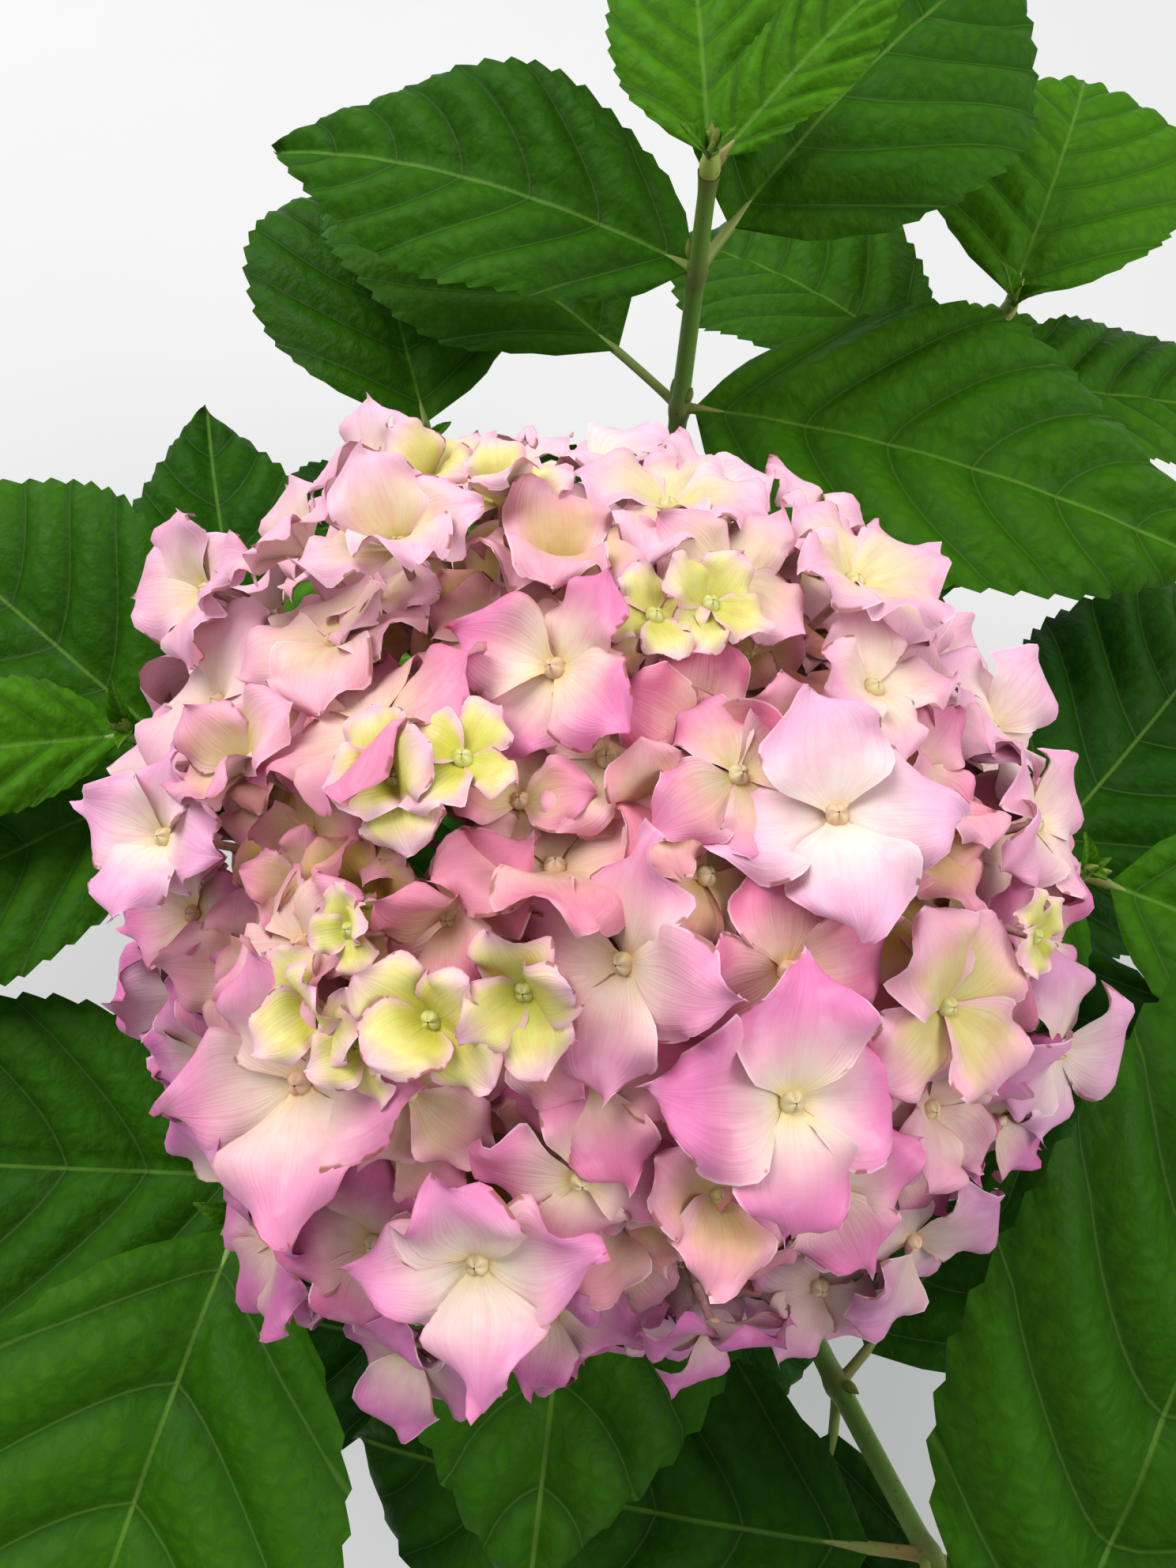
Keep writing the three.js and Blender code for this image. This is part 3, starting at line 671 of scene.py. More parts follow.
def head_direction(azimuth, polar):
    azimuth, polar = math.radians(azimuth), math.radians(polar)
    across = np.array([math.cos(azimuth), math.sin(azimuth)]) * math.sin(polar)
    return np.array([across[0], across[1], math.cos(polar)])


def head_swell(azimuth, polar):
    """The head is not quite round: its rim has shoulders."""
    total = 0
    for middle, spread, swell in HEAD_SHOULDERS:
        apart = (azimuth - middle + 180) % 360 - 180
        total += swell * math.exp(-((apart / spread) ** 2))
    return 1 + total * math.sin(math.radians(polar)) ** 2


def youth_at(azimuth, polar):
    here = head_direction(azimuth, polar)
    found = USUAL_YOUTH
    for patch_azimuth, patch_polar, spread, most in YOUNG_PATCHES:
        apart = math.degrees(math.acos(min(1, here @ head_direction(patch_azimuth, patch_polar))))
        found = max(found, most * math.exp(-((apart / spread) ** 2)))
    return found


def spiral(count, lowest, turned=0):
    """Numbered seats spread evenly over the head, from its top down to a lowest polar angle."""
    low = math.cos(math.radians(lowest))
    for i in range(count):
        height = 1 - (1 - low) * (i + 0.5) / count
        yield i, (i * GOLDEN_ANGLE + turned) % 360, math.degrees(math.acos(height))


def new_floret(azimuth, polar, radius, turn, youth, layer, reach, lean=(), is_set=False, inner=False):
    """A floret whose eye lies at a share of the head's reach."""
    return SimpleNamespace(
        place=head_point(azimuth, polar, 1),
        eye=head_point(azimuth, polar, reach * head_swell(azimuth, polar)),
        azimuth=azimuth,
        polar=polar,
        radius=radius,
        turn=turn,
        youth=youth,
        layer=layer,
        lean=lean,
        is_set=is_set,
        inner=inner,
    )


def lay_floret(florets, azimuth, polar, radius, turn, youth, lean=(), is_set=False):
    """Adds a floret if there is room. Each takes the outermost layer that no near neighbour has."""
    place = head_point(azimuth, polar, 1)
    near = [(other, np.linalg.norm(other.place - place) / (other.radius + radius)) for other in florets]
    if not is_set and any(apart < FLORET_SPACING for _, apart in near):
        return
    taken = {other.layer for other, apart in near if apart < LAYER_REACH}
    layer = next((n for n in range(len(LAYER_DEPTHS)) if n not in taken), len(LAYER_DEPTHS) - 1)
    if is_set and youth >= GREEN_YOUTH:
        layer = 0
    reach = 1 - LAYER_DEPTHS[layer]
    florets.append(new_floret(azimuth, polar, radius, turn, youth, layer, reach, lean, is_set))


def place_florets():
    """The florets that show: those with a place of their own, then the rest of the dome."""
    florets = []
    for azimuth, polar, radius, turn, youth, *lean in SET_FLORETS:
        lay_floret(florets, azimuth, polar, radius, turn, youth, lean, True)
    for i, azimuth, polar in spiral(FILL_COUNT, HEAD_LOWEST):
        radius = FLORET_RADIUS * (1 + 0.14 * scatter(i))
        lay_floret(florets, azimuth, polar, radius, 45 * (1 + scatter(i + 17)), youth_at(azimuth, polar))
    return florets


def add_small_florets(florets):
    """Small late florets open in the deeper places that the full-grown ones leave between them."""
    added = []
    for i, azimuth, polar in spiral(FILL_COUNT, HEAD_LOWEST - 8, turned=61):
        place, radius = head_point(azimuth, polar, 1), SMALL_RADIUS + 2.5 * scatter(i * 3)
        apart = min(np.linalg.norm(other.place - place) / other.radius for other in florets)
        apart_small = min((np.linalg.norm(other.place - place) for other in added), default=99)
        if apart < SMALL_SPACING or apart_small < SMALL_APART or len(added) >= SMALL_FLORETS:
            continue
        youth = min(1, max(0.3 + 0.2 * scatter(i), youth_at(azimuth, polar) + 0.2))
        turn, reach = 45 * (1 + scatter(i + 5)), SMALL_REACH + 0.04 * scatter(i * 7)
        added.append(new_floret(azimuth, polar, radius, turn, youth, 2, reach))
    florets.extend(added)


def add_inner_florets(florets):
    """Half-hidden florets inside the head, so that nothing shows through between the outer ones."""
    for i, azimuth, polar in spiral(INNER_FLORETS, HEAD_LOWEST - 4, turned=23):
        radius, turn = INNER_RADIUS + 1.5 * scatter(i * 3), 45 * (1 + scatter(i + 9))
        youth, reach = 0.7 + 0.3 * scatter(i * 5), INNER_REACH + 0.04 * scatter(i * 7)
        floret = new_floret(azimuth, polar, radius, turn, youth, 3, reach, inner=True)
        floret.place = floret.eye
        florets.append(floret)


# Flower head: its fine meshes

SEPAL_STATIONS = [0, 0.06, 0.15, 0.28, 0.42, 0.54, 0.66, 0.78, 0.88, 0.95, 1]
SEPAL_OUTLINE = [0.1, 0.18, 0.42, 0.78, 1, 0.98, 0.8, 0.52, 0.29, 0.14, 0.02]
YOUNG_OUTLINE = [0.14, 0.32, 0.58, 0.86, 0.99, 1, 0.95, 0.82, 0.6, 0.36, 0.04]
HEART = srgb(236, 220, 140)
CREAM = srgb(244, 228, 204)
PINK = srgb(236, 142, 192)
VIOLET = srgb(222, 130, 194)
ROSE = srgb(214, 92, 150)
# Painted shade: the inner florets' colours are multiplied by the first, and each layer further in is
# darkened by a share of the second.
INNER_PAINTED_SHADE = np.array([0.86, 0.7, 0.5])
LAYER_PAINTED_SHADE = np.array([0.03, 0.088, 0.12])
PEACH = srgb(244, 202, 212)
LIME = srgb(202, 200, 76)
LEMON = srgb(238, 229, 150)
RIM = srgb(246, 218, 228)


def sepal_tint(u, q, floret, seed, under):
    """Cream at the eye and pink at the tip; lime and lemon with a pink edge while young. The lower front,
    the florets further in and the inner ones get painted shade, and the upper back is paler, partly with
    painted light.
    """
    azimuth, polar = math.radians(floret.azimuth), floret.polar
    violet = np.clip(smooth(38, 72, polar) * (0.75 - 0.75 * math.sin(azimuth)), 0, 1)
    # The upper back of the head is peachier and paler, partly its own colour and partly painted light, and
    # it gets less painted shade.
    warm_and_lit = np.clip(smooth(30, 60, polar) * (0.1 + 0.9 * math.sin(azimuth)), 0, 1)
    full = blend(blend(PINK, VIOLET, violet), ROSE, 0.35 * max(0, seed) * (1 - warm_and_lit))
    # Painted shade over the lower front of the head, growing towards its foot.
    foot_shade = float(smooth(34, 66, polar)) * max(0, -math.sin(azimuth))
    full = blend(full, PEACH, 0.6 * warm_and_lit)
    full = blend(full, ROSE, 0.4 * max(0, -floret.paleness) * smooth(0.45, 1, u))
    reach = u + 0.2 * np.abs(q) * u + 0.07 * seed - 0.08 * floret.paleness
    middle = blend(HEART, CREAM, smooth(0, 0.24 + 0.2 * warm_and_lit, u))
    open_colour = blend(middle, full, smooth(0.12 + 0.12 * warm_and_lit, 0.78, reach))
    youth = float(np.clip(floret.youth + 0.08 * seed, 0, 1))
    wide = 0.34 * (1 - youth)
    blush = smooth(0.62 - wide, 1.05 - wide, np.maximum(u, 0.96 * np.abs(q)) + 0.1 * seed)
    young_colour = blend(blend(LIME, LEMON, smooth(0.2, 0.9, u)), blend(PEACH, PINK, 0.25), blush)
    colour = blend(open_colour, young_colour, smooth(0.1, 0.85, youth))
    pale = 0.48 * min(1, max(0, 0.2 + floret.paleness) + 0.75 * warm_and_lit) * (1 - youth)
    colour = blend(colour, RIM, pale + (0.6 - pale) * under)
    # The lower front of the head is darkened by painted shade.
    colour = colour * (1 - 0.42 * foot_shade * np.array([0.85, 1.0, 0.95]))
    # Painted shade on the inner florets, and more on each layer further in, weaker on the upper back.
    if floret.inner:
        return colour * INNER_PAINTED_SHADE
    return colour * (1 - LAYER_PAINTED_SHADE * floret.layer * (1 - 0.8 * warm_and_lit))


def leaning(floret, number, normal, side, other):
    """Which way a floret faces: off its seat's own direction by a scatter, or by its own lean."""
    if floret.lean:
        tilt, toward = (math.radians(angle) for angle in floret.lean)
        aside = HEAD_EAST * math.cos(toward) + HEAD_NORTH * math.sin(toward)
        return unit(normal * math.cos(tilt) + aside * math.sin(tilt))
    much = 0.22 if floret.is_set and floret.polar < 60 else 0.42
    return unit(normal + side * much * scatter(number * 3 + 1) + other * much * scatter(number * 9 + 4))


def is_covered(floret, florets):
    """Whether a wide floret with a place of its own lies over this one, in a layer further out."""
    for other in florets:
        if other.is_set and other.radius >= COVERING_FLORET and other.layer < floret.layer:
            if np.linalg.norm(other.place - floret.place) < 1.05 * other.radius:
                return True
    return False


def opening_angle(floret, number):
    """How far a floret's sepals stand up: wide florets lie open, young and late ones are cupped."""
    chance = scatter(number * 21 + 8)
    if floret.is_set and floret.radius >= OPEN_FLORET:
        return 15 + 13 * chance
    if floret.is_set and floret.youth >= GREEN_YOUTH:
        return 24 + 8 * chance
    if floret.covered:
        return 6 + 6 * chance
    return 17 + 27 * floret.youth + 28 * max(0, chance)


def rounded(u, stations, values):
    """The values along their stations, with the corners between them rounded off."""
    fine = np.linspace(0, 1, 101)
    kernel = np.hanning(15) / np.hanning(15).sum()
    smoothed = np.convolve(np.pad(np.interp(fine, stations, values), 7, mode="edge"), kernel, "valid")
    return np.interp(u, fine, smoothed)


def sepal_half_width(u, floret, number, length):
    """Half a sepal's width along it: narrow at the foot and pointed when open, rounder while young."""
    outline = rounded(u, SEPAL_STATIONS, SEPAL_OUTLINE) * (1 - floret.youth)
    outline = outline + rounded(u, SEPAL_STATIONS, YOUNG_OUTLINE) * floret.youth
    if floret.radius >= LARGE_FLORET:
        outline = outline * (1 - 0.2 * smooth(0.35, 0.75, u))
    return 0.5 * length * (0.96 + 0.12 * scatter(number * 7 + 2)) * outline[:, None]


def sepal_slope(u, floret, number):
    """How steeply a sepal stands along it: it opens from the eye, and curls back towards its tip."""
    opening = floret.opening + 14 * scatter(number * 7 + 2)
    upright = 0 if floret.covered else max(0, scatter(number * 17 + 3) - 0.2) * 66
    curl = SEPAL_CURL + 30 * scatter(number * 13 + 5) + 0.8 * upright + 0.45 * floret.opening
    tip = math.radians(TIP_CURL) * smooth(0.66, 1, u) * (1 - floret.youth)
    return math.radians(opening + upright) - math.radians(curl) * u ** 1.5 - tip


def sepal_relief(u, q, half, length, number):
    """How far a sepal's face lifts off its middle line: cupped, rolled at the edge and wavy."""
    seed = scatter(number * 13 + 5)
    wave = np.sin(2 * np.pi * (2 * u + 0.5 * seed) + 1.9 * np.sign(q))
    ripple = SEPAL_RIPPLE * length * np.abs(q) ** 2.5 * wave
    channel = 0.26 + 0.3 * scatter(number * 19 + 7)
    roll = SEPAL_ROLL * q ** 6 * smooth(0.2, 0.6, u)
    cup = half * (channel * np.abs(q) ** 1.5 * (1 - 0.7 * u) - roll)
    return cup + ripple * smooth(0.05, 0.5, u)


def sepal(sheets, floret, number, out, normal, base):
    """One sepal, upper and lower face, from its foot by the eye outwards."""
    seed = scatter(number * 13 + 5)
    rows, columns = (9, 6) if floret.inner else (SEPAL_ROWS, SEPAL_COLUMNS)
    u = np.linspace(0, 1, rows + 1)
    q = np.linspace(-1, 1, columns + 1)[None, :]
    length = floret.radius * (1.06 + 0.12 * seed)
    half = sepal_half_width(u, floret, number, length)
    slope = sepal_slope(u, floret, number)
    step = np.full(len(u), length / rows)
    step[0] = 0
    x = np.cumsum(step * np.cos(slope))
    z = np.cumsum(step * np.sin(slope))
    left = np.cross(normal, out)
    face = normal * np.cos(slope)[:, None] - out * np.sin(slope)[:, None]
    twist = SEPAL_TWIST * scatter(number * 5 + 1) * u[:, None] ** 1.2
    across = left * np.cos(twist) + face * np.sin(twist)
    face = face * np.cos(twist) - left * np.sin(twist)
    u = u[:, None]
    notch = 0.035 * (np.arange(rows + 1) % 2)[:, None] * smooth(0.5, 0.7, u) * (seed > 0.1)
    s = q * half * (1 + 0.04 * np.sin(11 * u + 5 * seed + 2 * np.sign(q)) - notch * q ** 8)
    lift = sepal_relief(u, q, half, length, number)
    sway = SEPAL_SWAY * length * scatter(number * 23 + 1) * u ** 2
    middle = base + out * x[:, None] + normal * z[:, None] + left * sway
    grid = middle[:, None] + across[:, None] * s[..., None] + face[:, None] * lift[..., None]
    thick = (SEPAL_THICKNESS * (1 - q ** 4) * (1 - 0.6 * u) + 0.02)[..., None]
    place = np.stack(np.broadcast_arrays(q, u, 10.0 * seed), -1)
    for under in (0, 1):
        tint = sepal_tint(u, q, floret, seed, under)
        sheets.add(grid - under * thick * face[:, None], flip=bool(under), tint=tint, place=place)


def eye_bead(sheets, floret, normal, side, other):
    """The closed bud in a floret's middle, a bead of four lobes."""
    around = full_turn(16)[None, :]
    down = np.linspace(0.03, 0.8, 8)[:, None] * np.pi
    radius = 1.1 + 0.032 * floret.radius
    crease = np.abs(np.cos(2 * around)) ** 6
    bulge = radius * (1 - 0.3 * crease * np.exp(-((down - 0.5) / 0.9) ** 2))
    centre = floret.eye + normal * (radius * 0.62)
    grid = (centre
            + side * (bulge * np.sin(down) * np.cos(around))[..., None]
            + other * (bulge * np.sin(down) * np.sin(around))[..., None]
            + normal * (0.86 * bulge * np.cos(down))[..., None])
    tan, coral, green = srgb(222, 200, 152), srgb(222, 150, 132), srgb(206, 208, 104)
    share = np.clip(scatter(floret.radius * 37) * 0.8, 0, 1)
    tint = blend(blend(tan, coral, share), green, smooth(0.3, 0.7, floret.youth))
    # Painted shade in the creases between the bead's lobes.
    tint = blend(tint, tint * 0.8, crease[..., :] * np.exp(-((down - 0.4) / 0.9) ** 2))
    sheets.add(grid, flip=True, wrap=True, tint=tint, green=0)


def pedicel(sheets, start, end, normal, radius):
    t = np.linspace(0, 1, 9)[:, None]
    bend = end - normal * np.linalg.norm(end - start) * 0.45
    centres = start * (1 - t) ** 2 + bend * 2 * t * (1 - t) + end * t ** 2
    green, pink = srgb(160, 172, 110), srgb(206, 150, 150)
    tint = blend(green, pink, t[:, 0])[:, None]
    sheets.add(tube(centres, np.full(9, radius), 7), wrap=True, tint=tint, green=0.3)


def head_branches():
    """Where the head's main rays end: one on its axis, the others round it."""
    around = [head_point(i * 360 / RAY_COUNT + 20, RAY_POLAR, RAY_REACH) for i in range(RAY_COUNT)]
    return [head_point(0, 0, RAY_REACH), *around]


def floret_axes(floret, number):
    """The way a floret faces, and two directions across it."""
    normal = unit(floret.eye - head_point(0, 180, FACING_DEPTH))
    side = unit(np.cross(HEAD_NORTH, normal))
    normal = leaning(floret, number, normal, side, np.cross(normal, side))
    side = unit(side - normal * (side @ normal))
    return normal, side, np.cross(normal, side)


def make_flower_head(centre_stem):
    florets = place_florets()
    add_small_florets(florets)
    add_inner_florets(florets)
    fork = HEAD_CENTRE - HEAD_AXIS * FORK_DEPTH
    branches = head_branches()
    stalks, beads = Sheets(), Sheets()
    sepals = [Sheets() for _ in branches]
    pedicel(stalks, centre_stem.tip - centre_stem.direction(1) * 2, fork, HEAD_AXIS, SHOOT_TIP * 1.1)
    for end in branches:
        pedicel(stalks, fork, end, unit(end - fork), RAY_RADIUS)
    for number, floret in enumerate(florets):
        floret.covered = is_covered(floret, florets)
        floret.opening = opening_angle(floret, number)
        floret.paleness = scatter(number * 31 + 2) * (0.4 if floret.radius >= LARGE_FLORET else 1)
        nearest = int(np.argmin([np.linalg.norm(end - floret.eye) for end in branches]))
        normal, side, other = floret_axes(floret, number)
        pedicel(stalks, branches[nearest], floret.eye, normal, STALK_RADIUS)
        eye_bead(beads, floret, normal, side, other)
        for k in range(4):
            angle = math.radians(floret.turn + 90 * k + 7 * scatter(number * 4 + k))
            out = side * math.cos(angle) + other * math.sin(angle)
            base = floret.eye + out * 0.5 + normal * (0.5 if k % 2 else 0.0)
            sepal(sepals[nearest], floret, number * 4 + k, out, normal, base)
    for n, sheets in enumerate(sepals):
        sheets.build(f"sepals_{n}", FINISH["sepal"], "blossom", "flower_head")
    beads.build("floret_eyes", FINISH["bead"], "blossom", "flower_head")
    stalks.build("flower_stalks", FINISH["stem"], "green_stem", "flower_head")


# Shoots, with their leaves

# Radii of the buds, from foot to tip
AXIL_BUD = [0.5, 1.2, 1.5, 1.3, 0.8, 0.15]
TIP_BUD = [2.2, 2.5, 2.6, 2.4, 1.9, 1.3, 0.7, 0.12]

# Small upright leaves at a growing tip
SPROUT_RISE = 58
SPROUT_REACH = 15
INNER_SPROUT_REACH = 9
SPROUT_SLIMNESS = 0.42
SPROUT_FOLD = 34
SPROUT_TONE = 0.62


def stem_tint(stem, t):
    """Woody and brown low down, green above, ruddy at the nodes."""
    bark, green, ruddy = srgb(122, 104, 76), srgb(112, 150, 62), srgb(122, 92, 66)
    woody = 1 - smooth(0.12, 0.5, t)
    near_node = sum(np.exp(-(((t - node) * stem.length) / 5) ** 2) for node in stem.nodes)
    return blend(blend(green, bark, woody), ruddy, np.clip(0.5 * near_node, 0, 0.6) * (1 - woody))


def make_shoot(stem, leaves):
    blades, twigs = Sheets(), Sheets()
    t = np.linspace(stem.mass_start, 1, 48)
    tint = stem_tint(stem, t)[:, None]
    twigs.add(tube(stem.point(t), stem.radius(t), 14), wrap=True, tint=tint, green=1)
    for item in leaves:
        leaf, order = item.leaf, item.wanted.order
        blade(blades, leaf, order, leaf_light_and_youth(item))
        midrib(twigs, leaf, 0.5 + 0.4 * scatter(order))
        axil = stem.point(stem.nodes[item.wanted.key[1]])
        outward = leaf_point(leaf, np.array([0.03]), np.zeros(1), np.array([2.0]))[0] - axil
        start = axil + unit(outward) * 2 + UP * 1.5
        row = start + (unit(outward) * 0.35 + stem.direction(0.8)) * np.linspace(0, 6, 6)[:, None]
        twigs.add(tube(row, AXIL_BUD, 8), wrap=True, tint=srgb(136, 150, 70), green=1)
    if stem.name != "centre":
        tip_bud(blades, twigs, stem)
    blades.build(f"blades_{stem.name}", FINISH["leaf"], "foliage", f"leaves_{stem.name}")
    twigs.build(f"twigs_{stem.name}", FINISH["stem"], "green_stem", f"leaves_{stem.name}")


def tip_bud(blades, twigs, stem):
    """The shoot's growing tip: a pointed bud between two pairs of small upright leaves."""
    grow = stem.direction(1.0)
    row = stem.tip + grow * np.linspace(-2, 10, 8)[:, None]
    twigs.add(tube(row, TIP_BUD, 10), wrap=True, tint=srgb(160, 178, 84), green=1)
    for k in range(4):
        order = stem.order * 4 + k
        azimuth = stem.turn + 90 + 180 * k + 90 * (k // 2)
        rise = SPROUT_RISE + 8 * scatter(order + 3)
        reach = SPROUT_REACH + 4 * scatter(order) if k < 2 else INNER_SPROUT_REACH
        width = reach * SPROUT_SLIMNESS
        leaf = make_leaf(stem.tip + grow * 2, azimuth, rise, reach, width, 1.0, order)
        leaf.fold = math.radians(SPROUT_FOLD)
        blade(blades, leaf, order, SPROUT_TONE, rows=20, columns=8, teeth=10)


def make_bark(stems):
    """The woody stock and the bare lower part of every shoot, with the relief of their bark."""
    sheets = Sheets()
    height = np.linspace(0, 1, 40)
    foot = COMPOST_TOP - 3
    low_flare = np.interp(height, np.linspace(0, 1, len(STOCK_FLARE)), STOCK_FLARE)
    radius = (STOCK_FOOT + (STOCK_HEAD - STOCK_FOOT) * height) * low_flare
    radius = radius * np.sqrt(np.clip((1.02 - height) / 0.12, 0.004, 1))
    level = foot + (STOCK_TOP - foot) * height
    centres = np.stack([STOCK_LEAN[0] * height, STOCK_LEAN[1] * height, level], 1)
    sheets.add(bark_relief(centres, radius, 56, 1.0, 3.0), wrap=True, tint=srgb(118, 99, 72), green=0)
    for stem in stems:
        t = np.linspace(0, stem.mass_start + 0.004, 44)
        strength = 0.34 * (1 - smooth(0.1, 0.5, t))
        grid = bark_relief(stem.point(t), stem.radius(t), 18, strength[:, None], 7.0 + stem.order)
        sheets.add(grid, wrap=True, tint=stem_tint(stem, t)[:, None], green=smooth(0.2, 0.5, t)[:, None])
    boughs = [f"bough_{stem.name}" for stem in stems]
    sheets.build("bark", FINISH["stem"], "woody_stem", "woody_stock", *boughs)


def bark_relief(centres, radius, sides, strength, offset):
    """A limb whose skin has long ridges and flakes."""
    plain = tube(centres, np.ones(len(centres)), sides)
    direction = plain - centres[:, None]
    places = plain.copy()
    places[..., :2] += direction[..., :2] * 3
    flat = places.reshape(-1, 3)
    ridges = [noise.noise(Vector((x * 0.9, y * 0.9, z * 0.09 + offset))) for x, y, z in flat]
    flakes = [noise.noise(Vector((x * 2.1, y * 2.1, z * 0.4 + offset))) for x, y, z in flat]
    relief = (1.1 * np.array(ridges) + 0.45 * np.array(flakes)).reshape(plain.shape[:2])
    return centres[:, None] + direction * (radius[:, None] + relief * strength)[..., None]


# Pot and compost


def wall_radius(height):
    return POT_BASE_RADIUS + (POT_TOP_RADIUS - POT_BASE_RADIUS) * height / POT_HEIGHT


def inner_radius(height):
    return wall_radius(height) - POT_WALL


def lathe(profile, sides):
    angle = full_turn(sides)
    radius, height = np.array(profile, float).T
    grid = np.zeros((len(profile), sides, 3))
    grid[..., 0] = radius[:, None] * np.cos(angle)
    grid[..., 1] = radius[:, None] * np.sin(angle)
    grid[..., 2] = height[:, None]
    return grid


def pot_profile():
    """Radius and height from the middle of the underside, up the outside, and down the inside."""
    lip_foot = POT_HEIGHT - LIP_HEIGHT
    under_lip = wall_radius(lip_foot)
    lip = POT_TOP_RADIUS + LIP_PROUD
    inside = POT_TOP_RADIUS - POT_WALL
    foot = [(0.5, 0), (DRAIN_RING - 12, 0), (DRAIN_RING + 12, 0), (POT_BASE_RADIUS - 1.5, 0)]
    foot += [(POT_BASE_RADIUS - 0.4, 0.4), (POT_BASE_RADIUS, 1.5)]
    wall = [(wall_radius(h), h) for h in np.linspace(4, lip_foot - 1, 46)]
    rim = [(under_lip + out, lip_foot + up) for out, up in LIP_UNDERSIDE]
    rim += [(lip - back, POT_HEIGHT - down) for back, down in LIP_ROLL]
    rim += [(inside + 1.4, POT_HEIGHT), (inside + 0.4, POT_HEIGHT - 0.4)]
    inner = [(inner_radius(h), h) for h in np.linspace(POT_HEIGHT - 2, POT_FLOOR, 24)]
    on_wall = [0] * len(foot) + [1] * len(wall) + [0] * (len(rim) + len(inner) + 1)
    return foot + wall + rim + inner + [(0.5, POT_FLOOR)], np.array(on_wall)


def make_pot():
    """The pot, with fine ribs round its foot and a shallow band above them."""
    profile, on_wall = pot_profile()
    grid = lathe(profile, POT_SIDES)
    height = grid[..., 2]
    ribs = smooth(0.86, 1, np.cos(full_turn(POT_SIDES)[None, :] * POT_RIBS))
    ribs = ribs * smooth(8, 14, height) * (1 - smooth(RIB_TOP - 6, RIB_TOP, height))
    foot, top = (smooth(level, level + 1.5, height) for level in (RIB_TOP, BAND_TOP))
    band = BAND_DEPTH * foot - BAND_DEPTH * top
    outward = unit(grid * np.array([1, 1, 0.0]) + 1e-9)
    grid = grid + outward * ((RIB_HEIGHT * ribs + band) * on_wall[:, None])[..., None]
    sheets = Sheets()
    sheets.add(grid, wrap=True)
    pot = sheets.build("pot_moulded", FINISH["pot"], "pot_plastic", "pot")
    cut_drain_holes(pot)


def cut_drain_holes(pot):
    cutters = []
    for i in range(DRAIN_HOLES):
        angle = (i + 0.5) / DRAIN_HOLES * 2 * math.pi
        place = Vector((DRAIN_RING * math.cos(angle), DRAIN_RING * math.sin(angle), 0)) * MM
        size = {"radius": DRAIN_RADIUS * MM, "depth": 4 * POT_FLOOR * MM}
        bpy.ops.mesh.primitive_cylinder_add(vertices=24, location=place, **size)
        cutters.append(bpy.context.object)
    bpy.ops.object.select_all(action="DESELECT")
    for cutter in cutters:
        cutter.select_set(True)
    bpy.context.view_layer.objects.active = cutters[0]
    bpy.ops.object.join()
    cutter = bpy.context.object
    boolean = pot.modifiers.new("drain_holes", "BOOLEAN")
    boolean.operation, boolean.object, boolean.solver = "DIFFERENCE", cutter, "EXACT"
    bpy.ops.object.select_all(action="DESELECT")
    pot.select_set(True)
    bpy.context.view_layer.objects.active = pot
    bpy.ops.object.modifier_apply(modifier="drain_holes")
    bpy.data.objects.remove(cutter)


def compost_height(radius):
    """The compost's level: a little mound round the stock, settled towards the wall."""
    edge = inner_radius(COMPOST_TOP - COMPOST_SETTLED)
    return np.interp(radius, [0, STOCK_FOOT * 1.6, STOCK_FOOT * 3, edge],
                     [COMPOST_TOP, COMPOST_TOP, COMPOST_TOP - 1, COMPOST_TOP - COMPOST_SETTLED])


def crumbs(x, y):
    """How high the compost's crumbs stand at a place."""
    coarse = noise.noise(Vector((x * 0.06, y * 0.06, 1.0)))
    fine = noise.noise(Vector((x * 0.24, y * 0.24, 4.0)))
    return 1.5 * coarse + 1.3 * fine


def make_compost():
    low = COMPOST_TOP - COMPOST_SETTLED
    edge = inner_radius(low) - COMPOST_GAP
    grid = lathe([(radius, float(compost_height(radius))) for radius in np.linspace(6, edge, 70)], 180)
    relief = np.array([crumbs(x, y) for x, y, _ in grid.reshape(-1, 3)])
    grid[..., 2] += relief.reshape(grid.shape[:2]) - 0.6
    sheets = Sheets()
    sheets.add(grid, wrap=True, chip=0)
    heights = np.linspace(POT_FLOOR + 0.5, low - 1, 12)
    side = lathe([(inner_radius(h) - COMPOST_GAP, h) for h in heights], 90)
    sheets.add(side, wrap=True, chip=0)
    for i in range(CHIP_COUNT):
        radius = (edge - 5) * math.sqrt((i + 0.5) / CHIP_COUNT)
        angle = math.radians(i * GOLDEN_ANGLE)
        if radius < STOCK_FOOT * 1.3:
            continue
        level = float(compost_height(radius)) + 0.2
        add_chip(sheets, np.array([radius * math.cos(angle), radius * math.sin(angle), level]), i)
    sheets.build("compost_surface", FINISH["compost"], "compost", "compost")


def add_chip(sheets, centre, number):
    """One crumb, bark chip or bit of fibre lying on the compost."""
    is_long = number % LONG_CHIP == 0
    long = 2.2 + 1.6 * abs(scatter(number * 3)) ** 2 + (4 if is_long else 0)
    thick = 1.0 if is_long else 1.5 - 0.4 * scatter(number * 5)
    turn = math.pi * scatter(number * 7)
    forward = np.array([math.cos(turn), math.sin(turn), 0.25 * scatter(number * 11)])
    row = centre + forward * np.linspace(-long, long, 5)[:, None]
    lumps = 1 + 0.3 * scatter(np.arange(30).reshape(5, 6) * 3 + number)
    radii = np.array([0.25, 0.9, 1.0, 0.85, 0.2])[:, None] * thick * lumps
    chip = 0.35 + 0.65 * is_long + 0.2 * scatter(number)
    sheets.add(tube(row, radii, 6, 0.6), wrap=True, chip=chip)


# Finishes


